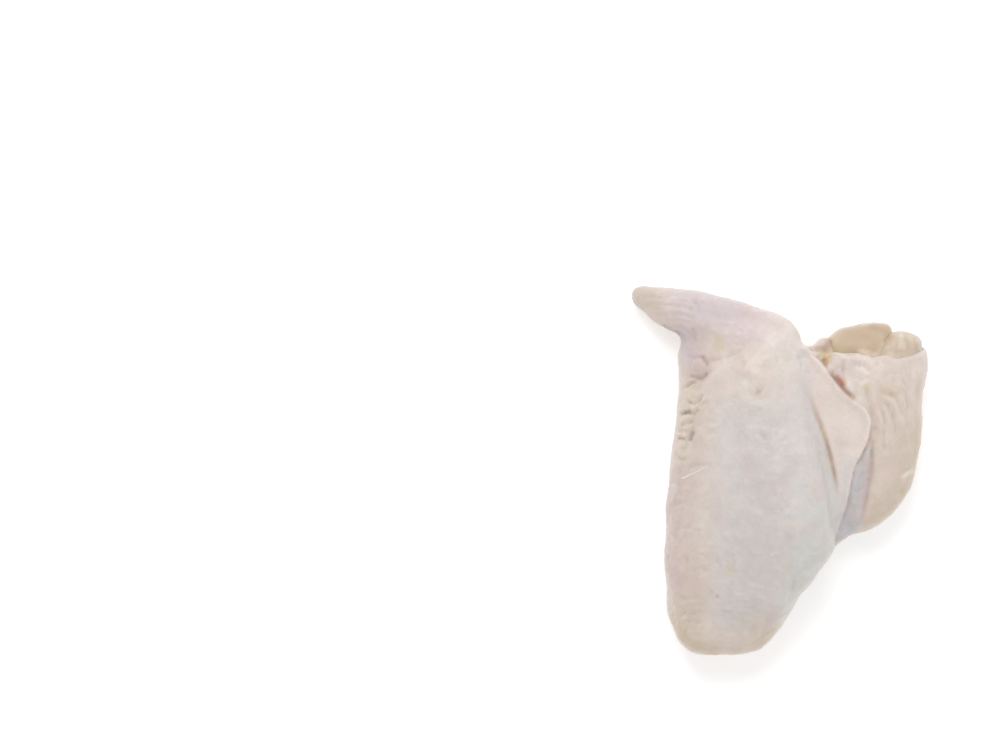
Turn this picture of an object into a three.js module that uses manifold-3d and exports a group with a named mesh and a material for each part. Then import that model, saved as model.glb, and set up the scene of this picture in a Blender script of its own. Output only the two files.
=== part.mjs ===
// A raw chicken wing, folded in a Z as it is packed: the tip, the flat and the drumette, under one skin.
// Units are millimetres. +Z is up, the flat runs along Y with the elbow at -Y, and the drumette lies on +X.
// The origin is under the middle of the wing, on the surface that it lies on.
import * as THREE from "three";
import { mergeVertices } from "three/addons/utils/BufferGeometryUtils.js";
import Module from "manifold-3d";

// Driving dimensions.
const WING_WIDTH = 80;
const WING_LENGTH = 101;
const WING_HEIGHT = 33;
const SKIN_CELL = 2.15; // the grid on which the skin's surface is found
const MEAT_CELL = 2.6;
const FAT_CELL = 1.7;
const FIELD_MARGIN = 6; // how far the grid reaches past the wing on every side
const FLOOR_SNAP = 0.25; // a vertex this near to the surface that the wing lies on is put onto it
const FIT = 0.35; // the gap kept between the skin, the meat and the fat
const SHOULDER_CUT_Y = 32.4; // where the knife went through the skin at the shoulder
const SHOULDER_CUT_LEAN = 0.16; // how much further back the cut lies at the wing's underside

// The limbs by stations: the centre, the half width, the half thickness, and the roll in degrees.
const FLAT = [
  { at: [-14.4, -40.0, 12.8], wide: 14.2, thick: 12.0, roll: 6 },
  { at: [-10.6, -28.0, 16.0], wide: 20.0, thick: 12.8, roll: 15 },
  { at: [-6.4, -14.0, 18.3], wide: 23.8, thick: 13.0, roll: 19 },
  { at: [-6.3, 2.0, 19.2], wide: 21.9, thick: 12.8, roll: 19 },
  { at: [-7.0, 16.0, 19.6], wide: 18.8, thick: 12.0, roll: 16 },
  { at: [-5.6, 26.0, 20.0], wide: 15.2, thick: 10.8, roll: 10 },
  { at: [-2.2, 32.4, 20.0], wide: 8.6, thick: 9.2, roll: 4 },
];
const DRUMETTE = [
  { at: [27.8, 42.0, 13.2], wide: 11.5, thick: 11.0 },
  { at: [26.4, 27.0, 13.2], wide: 13.7, thick: 13.0 },
  { at: [23.0, 13.0, 12.8], wide: 16.6, thick: 13.6 },
  { at: [17.6, -2.0, 12.4], wide: 16.4, thick: 13.0 },
  { at: [6.2, -14.5, 12.0], wide: 11.4, thick: 12.2 },
  { at: [-2.2, -25.5, 11.8], wide: 10.0, thick: 11.8 },
  { at: [-9.6, -32.6, 11.6], wide: 7.6, thick: 11.0 },
];
const TIP = [
  { at: [-1.0, 32.8, 19.8], wide: 7.2, thick: 8.4 },
  { at: [-10.6, 37.3, 17.4], wide: 8.2, thick: 7.8 },
  { at: [-21.0, 41.3, 12.6], wide: 7.2, thick: 6.8 },
  { at: [-30.0, 44.2, 8.2], wide: 5.6, thick: 5.6 },
  { at: [-35.6, 46.6, 5.4], wide: 3.4, thick: 4.6 },
];
// The loose skin along the flat's trailing edge, which sags down and fills the angle at the wrist.
const TRAILING_SKIN = [
  { at: [-20.6, -35.0, 7.6], wide: 7.0, thick: 7.9 },
  { at: [-21.4, -16.0, 7.6], wide: 6.4, thick: 8.0 },
  { at: [-20.2, 4.0, 8.4], wide: 5.8, thick: 8.6 },
  { at: [-18.8, 20.0, 9.8], wide: 6.2, thick: 8.2 },
  { at: [-20.0, 31.0, 9.8], wide: 6.8, thick: 7.2 },
];
// How far each limb bulges past its last station.
const CAP = { flat: 9.4, drumette: 8, tip: 4, trailing: 6 };
// How widely the forms run into each other. The skin bridges the limbs more widely on the underside.
const BLEND = {
  trailing: 9,
  tip: 4.5,
  drumette: 3.4,
  underside: 14,
  web: 2.4,
  crease: 2.4,
  cut: 1,
  foot: 2.4,
};
// The heights between which the underside's blend passes into the top's.
const UNDERSIDE = { below: 8, above: 20 };

// The folded web of skin beside the flat, which gets thicker where it runs in between the limbs.
const WEB = {
  edge: [
    [1.0, 34.6], [7.0, 32.8], [12.6, 28.6], [17.4, 22.6], [21.0, 18.9], [24.6, 15.6], [25.3, 11.6],
    [23.6, 6.2], [21.6, -1.5], [19.0, -9.0], [16.6, -17.5], [8.0, -12.0], [1.0, 8.0],
  ],
  top: { wrist: 26.4, corner: 27.8, elbow: 23.8 },
  edgeThickness: 12,
  edgeRounding: 2.2,
  rootThickness: 16,
  taper: 9, // how far in from its free edge the web reaches its full thickness
};

// Grooves on the upper side in plan, with each groove's radius and depth at its start, middle and end.
const CREASES = {
  besideFlat: {
    route: [[7.4, 32.0], [9.6, 24.0], [12.4, 13.0], [15.0, 2.6], [16.6, -6.5], [17.2, -15.0]],
    radius: [2.6, 3.2, 3.0],
    depth: [0.4, 0.9, 0.7],
  },
  underWeb: {
    route: [[26.2, 8.0], [24.2, 1.0], [22.0, -7.0], [19.4, -15.0], [17.4, -22.0]],
    radius: [2.4, 3.4, 4.2],
    depth: [0.8, 3.4, 4.6],
  },
  tipRoot: {
    route: [[-6.0, 36.2], [-10.6, 33.2], [-16.2, 31.2], [-19.8, 28.2], [-23.6, 23.6]],
    radius: [2.4, 2.6, 2.8],
    depth: [0.4, 1.3, 1.8],
  },
  underTip: {
    route: [[-32.0, 38.2], [-28.4, 36.0], [-24.6, 34.8], [-20.0, 35.2]],
    radius: [3.2, 3.0, 2.4],
    depth: [3.4, 2.6, 0.8],
  },
};

// The drumette's meat: a core along the bone, and the dome that swells out of the cut.
const MEAT_CORE = [
  { at: [26.6, 29.5, 13.0], wide: 11.6, thick: 10.8 },
  { at: [26.0, 23.0, 13.0], wide: 10.8, thick: 9.8 },
  { at: [22.6, 11.0, 12.4], wide: 9.6, thick: 7.8 },
  { at: [17.0, -2.0, 12.2], wide: 8.4, thick: 7.2 },
  { at: [8.0, -12.0, 12.0], wide: 5.6, thick: 6.0 },
];
const MEAT_DOME = { at: [24.4, 30.4, 12.8], radii: [11.6, 8.8, 10.4] };
const MEAT_CAP = 5;
const MEAT_BLEND = 3;
// The lobe of fat that stands on the skin's cut edge, over the meat.
const FAT_LOBE = { at: [33.6, 31.2, 15.4], radii: [6.8, 7.4, 8.8] };

const lerp = THREE.MathUtils.lerp;
const clamp = THREE.MathUtils.clamp;

// The lower of two fields, blended over a width k.
function smoothMin(a, b, k) {
  const h = Math.max(k - Math.abs(a - b), 0) / k;
  return Math.min(a, b) - (h * h * k) / 4;
}

// The higher of two fields, blended over a width k.
function smoothMax(a, b, k) {
  return -smoothMin(-a, -b, k);
}

// The value at a share of the way through three values.
function threeWay([start, middle, end], share) {
  return share < 0.5 ? lerp(start, middle, share * 2) : lerp(middle, end, share * 2 - 1);
}

// The distance to an ellipsoid's surface from a point in the ellipsoid's own axes, negative inside.
function ovalDistance(local, radii) {
  const reach = Math.hypot(...local.map((v, i) => v / radii[i]));
  const slope = Math.hypot(...local.map((v, i) => v / radii[i] ** 2));
  return slope < 1e-9 ? -Math.min(...radii) : (reach * (reach - 1)) / slope;
}

// An upright ellipsoid as a field.
function oval({ at: [x, y, z], radii }) {
  return (p) => ovalDistance([p.x - x, p.y - y, p.z - z], radii);
}

// A soft round limb along a spine. It gives the distance from a point to its surface, negative inside.
class Limb {
  constructor(stations, cap, steps = 40) {
    this.cap = cap;
    const spine = new THREE.CatmullRomCurve3(stations.map((s) => new THREE.Vector3(...s.at)));
    const up = new THREE.Vector3(0, 0, 1);
    this.rings = Array.from({ length: steps + 1 }, (_, i) => {
      const place = (i / steps) * (stations.length - 1);
      const k = Math.min(Math.floor(place), stations.length - 2);
      const share = THREE.MathUtils.smoothstep(place - k, 0, 1);
      const value = (name) => lerp(stations[k][name] ?? 0, stations[k + 1][name] ?? 0, share);
      const along = spine.getTangent(i / steps);
      const across = new THREE.Vector3().crossVectors(along, up).normalize();
      across.applyAxisAngle(along, THREE.MathUtils.degToRad(-value("roll")));
      const lift = new THREE.Vector3().crossVectors(across, along).normalize();
      const [wide, thick] = [value("wide"), value("thick")];
      return { at: spine.getPoint(i / steps), along, across, lift, wide, thick };
    });
  }

  distance(p) {
    let best = Infinity;
    let near = 0;
    this.rings.forEach(({ at }, i) => {
      const d = at.distanceToSquared(p);
      if (d < best) {
        best = d;
        near = i;
      }
    });
    const first = clamp(near - (this.overshoot(near, p) < 0 ? 1 : 0), 0, this.rings.length - 2);
    const [a, b] = [this.rings[first], this.rings[first + 1]];
    const step = b.at.clone().sub(a.at);
    const rest = p.clone().sub(a.at);
    const share = clamp(rest.dot(step) / step.lengthSq(), 0, 1);
    rest.addScaledVector(step, -share);
    const between = (name) => a[name].clone().lerp(b[name], share);
    const local = ["across", "lift", "along"].map((name) => rest.dot(between(name)));
    const radii = [lerp(a.wide, b.wide, share), lerp(a.thick, b.thick, share), this.cap];
    return ovalDistance(local, radii);
  }

  // How far a point lies past a ring, along the spine.
  overshoot(index, p) {
    const ring = this.rings[index];
    return p.clone().sub(ring.at).dot(ring.along);
  }
}

// The distance in plan to a closed outline, negative inside.
function outlineDistance(outline, x, y) {
  let best = Infinity;
  let inside = false;
  outline.forEach((a, i) => {
    const b = outline.at(i - 1);
    const [ex, ey] = [b.x - a.x, b.y - a.y];
    const t = clamp(((x - a.x) * ex + (y - a.y) * ey) / (ex * ex + ey * ey), 0, 1);
    best = Math.min(best, Math.hypot(x - a.x - ex * t, y - a.y - ey * t));
    if (a.y > y !== b.y > y && x < a.x + (ex * (y - a.y)) / ey) inside = !inside;
  });
  return inside ? -best : best;
}

// The folded web of skin as a field: a slab under a gently domed top, rounded at its free edge.
class Web {
  constructor({ edge, top, edgeThickness, edgeRounding, rootThickness, taper }) {
    const curve = new THREE.SplineCurve([...edge, edge[0]].map(([x, y]) => new THREE.Vector2(x, y)));
    this.outline = curve.getPoints(60).slice(0, -1);
    this.tops = [top.wrist, top.corner, top.elbow];
    this.half = { edge: edgeThickness / 2, root: rootThickness / 2 };
    this.rounding = edgeRounding;
    this.taper = taper;
  }

  // The height of the web's upper side.
  top(x, y) {
    const [wristY, elbowY, sideX, fall] = [34, -16, 12, 0.012];
    const share = clamp((wristY - y) / (wristY - elbowY), 0, 1);
    return threeWay(this.tops, share) - fall * Math.max(x - sideX, 0) ** 2;
  }

  distance(p) {
    const edge = outlineDistance(this.outline, p.x, p.y);
    const half = lerp(this.half.edge, this.half.root, THREE.MathUtils.smoothstep(-edge, 0, this.taper));
    const across = edge + this.rounding;
    const level = Math.abs(p.z - this.top(p.x, p.y) + half) - half + this.rounding;
    const beyond = Math.hypot(Math.max(across, 0), Math.max(level, 0));
    return beyond + Math.min(Math.max(across, level), 0) - this.rounding;
  }
}

// The height at which a field's upper surface lies over a point in plan.
function topOf(field, x, y) {
  const p = new THREE.Vector3(x, y, WING_HEIGHT * 1.3);
  for (let i = 0; i < 60 && p.z > 0; i++) {
    const d = field(p);
    if (d < 0.02) break;
    p.z -= Math.max(d * 0.7, 0.03);
  }
  return p.z;
}

// A groove along a route in plan that is laid down on a field from above, as a field of its own.
function creaseOn(field, { route, radius, depth }) {
  const plan = new THREE.SplineCurve(route.map(([x, y]) => new THREE.Vector2(x, y)));
  const last = 26;
  const beads = Array.from({ length: last + 1 }, (_, i) => {
    const { x, y } = plan.getPoint(i / last);
    const r = threeWay(radius, i / last);
    return { at: new THREE.Vector3(x, y, topOf(field, x, y) + r - threeWay(depth, i / last)), r };
  });
  return (p) => beads.reduce((best, { at, r }) => Math.min(best, at.distanceTo(p) - r), Infinity);
}

// How far a point lies past the cut at the shoulder.
function pastShoulderCut(p) {
  return p.y - SHOULDER_CUT_Y - SHOULDER_CUT_LEAN * (WING_HEIGHT * 0.6 - p.z);
}

// The whole wing under its skin, as a field.
function wingField() {
  const flat = new Limb(FLAT, CAP.flat);
  const drumette = new Limb(DRUMETTE, CAP.drumette);
  const tip = new Limb(TIP, CAP.tip);
  const trailing = new Limb(TRAILING_SKIN, CAP.trailing);
  const web = new Web(WEB);
  const limbs = (p) => {
    const forearm = smoothMin(flat.distance(p), trailing.distance(p), BLEND.trailing);
    const folded = smoothMin(forearm, tip.distance(p), BLEND.tip);
    const upperArm = smoothMax(drumette.distance(p), pastShoulderCut(p), BLEND.cut);
    const rise = THREE.MathUtils.smoothstep(p.z, UNDERSIDE.below, UNDERSIDE.above);
    const joined = smoothMin(folded, upperArm, lerp(BLEND.underside, BLEND.drumette, rise));
    const whole = smoothMin(joined, web.distance(p), BLEND.web);
    return Math.max(whole, -p.z);
  };
  const creases = Object.values(CREASES).map((crease) => creaseOn(limbs, crease));
  return (p) => creases.reduce((d, crease) => smoothMax(d, -crease(p), BLEND.crease), limbs(p));
}

// The drumette's meat as a field.
function meatField() {
  const core = new Limb(MEAT_CORE, MEAT_CAP);
  const dome = oval(MEAT_DOME);
  return (p) => smoothMin(core.distance(p), dome(p), MEAT_BLEND);
}

// The lobe of fat as a field, flat where it stands on the cut.
function fatField() {
  const lobe = oval(FAT_LOBE);
  return (p) => smoothMax(lobe(p), FIT - pastShoulderCut(p), BLEND.foot);
}

// A field's zero surface as a closed mesh, with one vertex in each cell that the surface crosses.
function surfaceOf(field, cell) {
  const low = new THREE.Vector3(-WING_WIDTH / 2, -WING_LENGTH / 2, 0).subScalar(FIELD_MARGIN);
  const high = new THREE.Vector3(WING_WIDTH / 2, WING_LENGTH / 2, WING_HEIGHT).addScalar(FIELD_MARGIN);
  const [nx, ny, nz] = ["x", "y", "z"].map((axis) => Math.ceil((high[axis] - low[axis]) / cell) + 1);
  const at = (i, j, k) => i + nx * (j + ny * k);
  const values = new Float32Array(nx * ny * nz);
  const point = new THREE.Vector3();
  for (let k = 0; k < nz; k++)
    for (let j = 0; j < ny; j++)
      for (let i = 0; i < nx; i++)
        values[at(i, j, k)] = field(point.set(low.x + i * cell, low.y + j * cell, low.z + k * cell));
  const steps = [1, nx, nx * ny];
  joinTouchingFolds(values, steps, cell);

  const corners = [0, 1, 2, 3, 4, 5, 6, 7].map((c) => [c & 1, (c >> 1) & 1, c >> 2]);
  const edges = corners.flatMap((_, a) => [1, 2, 4].filter((bit) => !(a & bit)).map((bit) => [a, a | bit]));
  const vertexOf = new Map();
  const positions = [];
  for (let k = 0; k < nz - 1; k++)
    for (let j = 0; j < ny - 1; j++)
      for (let i = 0; i < nx - 1; i++) {
        const v = corners.map(([x, y, z]) => values[at(i + x, j + y, k + z)]);
        const crossed = edges.filter(([a, b]) => v[a] < 0 !== v[b] < 0);
        if (!crossed.length) continue;
        const middle = new THREE.Vector3();
        for (const [a, b] of crossed) {
          const t = v[a] / (v[a] - v[b]);
          middle.add(new THREE.Vector3(...corners[a].map((c, n) => lerp(c, corners[b][n], t))));
        }
        middle.divideScalar(crossed.length).add(point.set(i, j, k)).multiplyScalar(cell).add(low);
        vertexOf.set(at(i, j, k), positions.length / 3);
        const drawn = drawnTo(field, middle, cell);
        if (Math.abs(drawn.z) < FLOOR_SNAP) drawn.z = 0;
        positions.push(...drawn.toArray());
      }

  const faces = [];
  for (let k = 1; k < nz - 1; k++)
    for (let j = 1; j < ny - 1; j++)
      for (let i = 1; i < nx - 1; i++)
        for (let axis = 0; axis < 3; axis++) {
          const here = at(i, j, k);
          const inside = values[here] < 0;
          if (inside === values[here + steps[axis]] < 0) continue;
          const [u, w] = [steps[(axis + 1) % 3], steps[(axis + 2) % 3]];
          const ring = [here, here - u, here - u - w, here - w].map((c) => vertexOf.get(c));
          faces.push(...splitQuad(inside ? ring : ring.reverse(), positions));
        }
  const geometry = new THREE.BufferGeometry();
  geometry.setAttribute("position", new THREE.Float32BufferAttribute(positions, 3));
  return geometry.setIndex(faces);
}

// Fills one corner of each grid square whose corners are inside and outside by turns. There two folds of
// the surface would touch along an edge, and the mesh wouldn't be one closed skin.
function joinTouchingFolds(values, steps, cell) {
  let filled = 0;
  for (let here = 0; here < values.length - steps[1] - steps[2]; here++)
    for (let axis = 0; axis < 3; axis++) {
      const [u, w] = [steps[(axis + 1) % 3], steps[(axis + 2) % 3]];
      const ring = [here, here + u, here + u + w, here + w];
      const inside = ring.map((c) => values[c] < 0);
      if (inside[0] !== inside[2] || inside[1] !== inside[3] || inside[0] === inside[1]) continue;
      const open = ring.filter((_, n) => !inside[n]);
      values[values[open[0]] < values[open[1]] ? open[0] : open[1]] = -0.05 * cell;
      filled++;
    }
  if (filled) joinTouchingFolds(values, steps, cell);
}

// A point moved onto the field's surface, by no more than half a cell.
function drawnTo(field, start, cell) {
  const p = start.clone();
  const h = 0.05;
  const slope = new THREE.Vector3();
  for (let pass = 0; pass < 3; pass++) {
    const d = field(p);
    ["x", "y", "z"].forEach((axis) => {
      const beside = p.clone();
      beside[axis] += h;
      slope[axis] = (field(beside) - d) / h;
    });
    p.addScaledVector(slope, -d / Math.max(slope.lengthSq(), 0.25));
  }
  return p.sub(start).clampLength(0, cell / 2).add(start);
}

// Two triangles for a ring of four vertices, cut along the shorter diagonal.
function splitQuad([a, b, c, d], positions) {
  const place = (vertex) => new THREE.Vector3().fromArray(positions, 3 * vertex);
  const gap = (m, n) => place(m).distanceTo(place(n));
  return gap(a, c) < gap(b, d) ? [a, b, c, a, c, d] : [b, c, d, b, d, a];
}

const wasm = await Module();
wasm.setup();

// A closed geometry as a solid that can be cut and joined.
function solid(geometry) {
  const bare = geometry.clone();
  bare.deleteAttribute("normal");
  bare.deleteAttribute("uv");
  const merged = mergeVertices(bare, 1e-4);
  return new wasm.Manifold(
    new wasm.Mesh({
      numProp: 3,
      vertProperties: new Float32Array(merged.attributes.position.array),
      triVerts: new Uint32Array(merged.index.array),
    }),
  );
}

// A solid as a geometry with normals.
function geometryOf(cut) {
  const mesh = cut.getMesh();
  const geometry = new THREE.BufferGeometry();
  const positions = new Float32Array(mesh.numVert * 3);
  for (let i = 0; i < mesh.numVert; i++)
    positions.set(mesh.vertProperties.subarray(i * mesh.numProp, i * mesh.numProp + 3), i * 3);
  geometry.setAttribute("position", new THREE.BufferAttribute(positions, 3));
  geometry.setIndex([...mesh.triVerts]);
  geometry.computeVertexNormals();
  return geometry;
}

const grown = (field) => (p) => field(p) - FIT;
const meatShape = meatField();
const fatShape = fatField();
const roomForMeat = solid(surfaceOf(grown(meatShape), MEAT_CELL));
const roomForFat = solid(surfaceOf(grown(fatShape), FAT_CELL));

const PIECES = [
  {
    name: "wing_skin",
    shape: solid(surfaceOf(wingField(), SKIN_CELL)).subtract(roomForMeat),
    material: new THREE.MeshStandardMaterial({ color: 0xe3d6ca, roughness: 0.42, metalness: 0 }),
  },
  {
    name: "shoulder_meat",
    shape: solid(surfaceOf(meatShape, MEAT_CELL)).subtract(roomForFat),
    material: new THREE.MeshStandardMaterial({ color: 0xc9a98c, roughness: 0.3, metalness: 0 }),
  },
  {
    name: "shoulder_fat",
    shape: solid(surfaceOf(fatShape, FAT_CELL)),
    material: new THREE.MeshStandardMaterial({ color: 0xd8c6b0, roughness: 0.36, metalness: 0 }),
  },
];

const chickenWing = new THREE.Group();
for (const { name, shape, material } of PIECES) {
  const mesh = new THREE.Mesh(geometryOf(shape), material);
  mesh.name = name;
  chickenWing.add(mesh);
}

// The wing is centred over the origin in plan.
const middle = new THREE.Box3().setFromObject(chickenWing).getCenter(new THREE.Vector3());
for (const mesh of chickenWing.children) mesh.position.set(-middle.x, -middle.y, 0);

export default chickenWing;
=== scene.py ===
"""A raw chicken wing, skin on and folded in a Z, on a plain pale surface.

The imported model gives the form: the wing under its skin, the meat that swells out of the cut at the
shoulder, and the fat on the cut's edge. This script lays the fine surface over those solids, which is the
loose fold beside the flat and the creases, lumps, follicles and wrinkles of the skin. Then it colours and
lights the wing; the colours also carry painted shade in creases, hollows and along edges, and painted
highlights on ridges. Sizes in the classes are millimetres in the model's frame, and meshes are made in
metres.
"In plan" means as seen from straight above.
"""

import logging
import math
from collections.abc import Callable
from dataclasses import dataclass, field
from enum import Enum

import bmesh
import bpy
import numpy as np
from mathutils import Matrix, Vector, kdtree, noise
from mathutils.bvhtree import BVHTree


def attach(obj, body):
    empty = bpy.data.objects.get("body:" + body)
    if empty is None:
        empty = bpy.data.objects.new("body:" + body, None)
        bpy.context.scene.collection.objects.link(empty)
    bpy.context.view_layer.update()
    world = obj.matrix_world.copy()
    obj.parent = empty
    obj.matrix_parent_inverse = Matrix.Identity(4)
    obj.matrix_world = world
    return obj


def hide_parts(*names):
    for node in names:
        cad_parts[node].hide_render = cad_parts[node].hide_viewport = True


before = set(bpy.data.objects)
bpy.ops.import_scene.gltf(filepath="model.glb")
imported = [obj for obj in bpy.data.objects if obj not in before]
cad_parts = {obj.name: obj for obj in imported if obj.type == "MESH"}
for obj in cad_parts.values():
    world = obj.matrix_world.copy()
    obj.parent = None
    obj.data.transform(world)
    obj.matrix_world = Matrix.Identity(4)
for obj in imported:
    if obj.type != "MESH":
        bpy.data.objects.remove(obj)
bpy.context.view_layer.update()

LOG = logging.getLogger("chicken_wing")
MM = 0.001
BODY = "root"

# how far one seed's noise lies from the next one's, in features
SEED_STEP = 17.3
# how near the corners of loose triangles are merged, in millimetres
MERGE_DISTANCE = 0.001
# how many steps the weights have that say which faces may go
WEIGHT_LEVELS = 10
# the height in metres from which rays look down on a surface
RAY_HEIGHT = 0.1
# how often a laid sheet's inner points are evened out
SHEET_PASSES = 4
# stands for a place that isn't beside the cut, in millimetres
FAR_BEFORE = -50.0

Route = tuple[tuple[float, ...], ...]
Point = tuple[float, float, float]
DOWN = Vector((0, 0, -1))
UP = Vector((0, 0, 1))


class Tone(Enum):
    """The colours that show on the wing, as display values from 0 to 255, several of them with painted shade
    and highlight in them.
    """

    PALE = (221, 210, 203)
    # pale spots of the skin, and painted highlights on ridges and lumps
    PALE_AND_HIGHLIGHT = (230, 221, 215)
    WARM = (208, 192, 182)
    ROSY = (202, 182, 178)
    LILAC = (216, 201, 200)
    COOL = (211, 205, 203)
    # the flat's cool colour with painted shade, darker where the flat slopes away from the light
    DEEP_COOL_AND_SHADE = (202, 195, 192)
    # a grey-green tint with painted shade, for sides and the right strip that turn away from the light
    GREY_GREEN_AND_SHADE = (206, 205, 201)
    GOLDEN = (206, 192, 176)
    CREAM = (222, 209, 201)
    BEIGE = (214, 199, 187)
    # an ochre tint with painted shade, along the rounded edges and creases of the elbow and drumette
    OCHRE_AND_SHADE = (196, 176, 146)
    SHADED = (198, 195, 197)
    LILAC_GREY = (199, 190, 195)
    BLOOD = (166, 104, 90)
    ORANGE_FAT = (206, 164, 122)
    AMBER = (158, 114, 80)
    YELLOW_FAT = (208, 196, 164)
    # painted shade, for creases, hollows and the gap under the loose fold's edge
    CREVICE_SHADE = (150, 118, 104)
    # the skin's brown, and painted shade in creases, pits and along the edges of folds
    BROWN = (188, 166, 148)
    CUT_EDGE = (224, 210, 199)
    MEAT = (192, 168, 142)
    # the meat's deep colour, and painted shade along the skin's edge, on the meat's left, low down and
    # beside the membrane
    DEEP_MEAT_AND_SHADE = (174, 143, 115)
    FAT = (210, 194, 176)
    # painted shade in the fat's pleats and at its edges
    FAT_FOLD_SHADE = (178, 156, 128)
    QUILL = (230, 220, 208)

    def linear(self) -> np.ndarray:
        """Gives the colour as linear light, red to blue."""
        share = np.array(self.value) / 255
        return np.where(share <= 0.04045, share / 12.92, ((share + 0.055) / 1.055) ** 2.4)


class Profile(Enum):
    """The section of a fold across its line."""

    RIDGE = "ridge"
    CREASE = "crease"
    ROLLED_EDGE = "rolled edge, on the line's right"


def smooth_route(route: Route, steps: int = 8) -> np.ndarray:
    """Rounds a route through its points.

    Args:
        route: The points, in millimetres.
        steps: How many pieces each span between two points is cut into.

    Returns:
        The rounded route's points, one row each.
    """
    p = np.array([route[0], *route, route[-1]], float)
    t = np.linspace(0, 1, steps, endpoint=False)[:, None]
    spans = [
        0.5 * (2 * b + (c - a) * t + (2 * a - 5 * b + 4 * c - d) * t**2 + (3 * b - a - 3 * c + d) * t**3)
        for a, b, c, d in zip(p, p[1:], p[2:], p[3:])
    ]
    return np.vstack([*spans, p[-1:]])


def along_route(route: Route, shares: np.ndarray) -> np.ndarray:
    """Finds the points that lie at shares of a rounded route's length.

    Args:
        route: The points, in millimetres.
        shares: How far along, from 0 to 1.

    Returns:
        One row for each share.
    """
    line = smooth_route(route)
    reach = np.concatenate([[0], np.cumsum(np.linalg.norm(np.diff(line, axis=0), axis=1))])
    return np.column_stack([np.interp(shares * reach[-1], reach, column) for column in line.T])


def beside_route(
    plan: np.ndarray, route: Route, limit: float = math.inf
) -> tuple[np.ndarray, np.ndarray, np.ndarray]:
    """Measures points in plan against a rounded route.

    Args:
        plan: The points in plan, one row each.
        route: The route's points in plan.
        limit: How far from the route points are measured at all.

    Returns:
        The distance to the route, its sign (1 on the route's left, -1 on its right), and the share along it.
    """
    line = smooth_route(route)
    distance = np.full(len(plan), np.inf)
    side = np.ones(len(plan))
    share = np.zeros(len(plan))
    close = np.all((plan > line.min(axis=0) - limit) & (plan < line.max(axis=0) + limit), axis=1)
    rows = np.flatnonzero(close)
    for i, (start, end) in enumerate(zip(line, line[1:])):
        step = end - start
        t = np.clip((plan[rows] - start) @ step / max(step @ step, 1e-12), 0, 1)
        off = plan[rows] - start - t[:, None] * step
        near = np.hypot(*off.T) < distance[rows]
        here = rows[near]
        distance[here] = np.hypot(*off[near].T)
        side[here] = np.where(step[0] * off[near, 1] > step[1] * off[near, 0], 1, -1)
        share[here] = (i + t[near]) / (len(line) - 1)
    return distance, side, share


def inside_outline(plan: np.ndarray, outline: Route) -> np.ndarray:
    """Tells which points in plan lie inside a rounded outline.

    Args:
        plan: The points in plan, one row each.
        outline: The outline's points, the last one joined to the first.

    Returns:
        True for each point inside.
    """
    line = smooth_route((*outline, outline[0]))
    inside = np.zeros(len(plan), bool)
    x, y = plan.T
    for (x0, y0), (x1, y1) in zip(line, line[1:]):
        if y0 != y1:
            inside ^= ((y0 > y) != (y1 > y)) & (x < x0 + (y - y0) * (x1 - x0) / (y1 - y0))
    return inside


def soft_area(plan: np.ndarray, outline: Route, softness: float) -> np.ndarray:
    """Marks the points in plan that lie inside a rounded outline.

    Args:
        plan: The points in plan, one row each.
        outline: The outline's points, the last one joined to the first.
        softness: How far to both sides of the outline the mark fades, in millimetres.

    Returns:
        1 inside, falling softly to 0 outside.
    """
    distance = beside_route(plan, (*outline, outline[0]), 3 * softness)[0]
    signed = np.where(inside_outline(plan, outline), distance, -distance)
    return eased(signed, -softness, softness)


def side_by_side(
    first: Route, second: Route, steps: int
) -> Callable[[float], tuple[np.ndarray, np.ndarray]]:
    """Prepares two routes that are followed together, as the two sides of a strip.

    Args:
        first: One side's points.
        second: The other side's points.
        steps: How many points each route is cut into.

    Returns:
        A function that gives the point on either route at a share of its length.
    """
    shares = np.linspace(0, 1, steps)
    lines = [along_route(route, shares).T for route in (first, second)]

    def at(along: float) -> tuple[np.ndarray, np.ndarray]:
        """Gives the point on either route.

        Args:
            along: How far along both, from 0 to 1.

        Returns:
            The point on the first route and the one on the second.
        """
        near, far = (np.array([np.interp(along, shares, column) for column in line]) for line in lines)
        return near, far

    return at


def beyond(value: float, start: float, span: float) -> float:
    """Gives 0 up to the start, then how many spans a value lies past it."""
    return max(0.0, (value - start) / span)


def eased(values: np.ndarray | float, start: float, end: float) -> np.ndarray:
    """Passes smoothly from 0 at start to 1 at end."""
    t = np.clip((values - start) / (end - start), 0, 1)
    return t * t * (3 - 2 * t)


def bell(values: np.ndarray, middle: float, width: float) -> np.ndarray:
    """Rises smoothly to 1 at the middle and falls away within the width."""
    return np.exp(-(((values - middle) / width) ** 2))


def grain(points: np.ndarray, size: float | Point, seed: int, turn: float = 0) -> np.ndarray:
    """Smooth noise in space, the same at every run.

    Args:
        points: Places in millimetres, one row each.
        size: How large the noise's features are, or how large along each axis, in millimetres.
        seed: Which noise it is.
        turn: How far the axes are turned in plan, in degrees.

    Returns:
        A value for each point, between about -1 and 1.
    """
    c, s = math.cos(math.radians(turn)), math.sin(math.radians(turn))
    turned = points @ np.array([[c, -s, 0], [s, c, 0], [0, 0, 1]]) / np.array(size) + SEED_STEP * seed
    return np.array([noise.noise(p) for p in turned])


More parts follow.
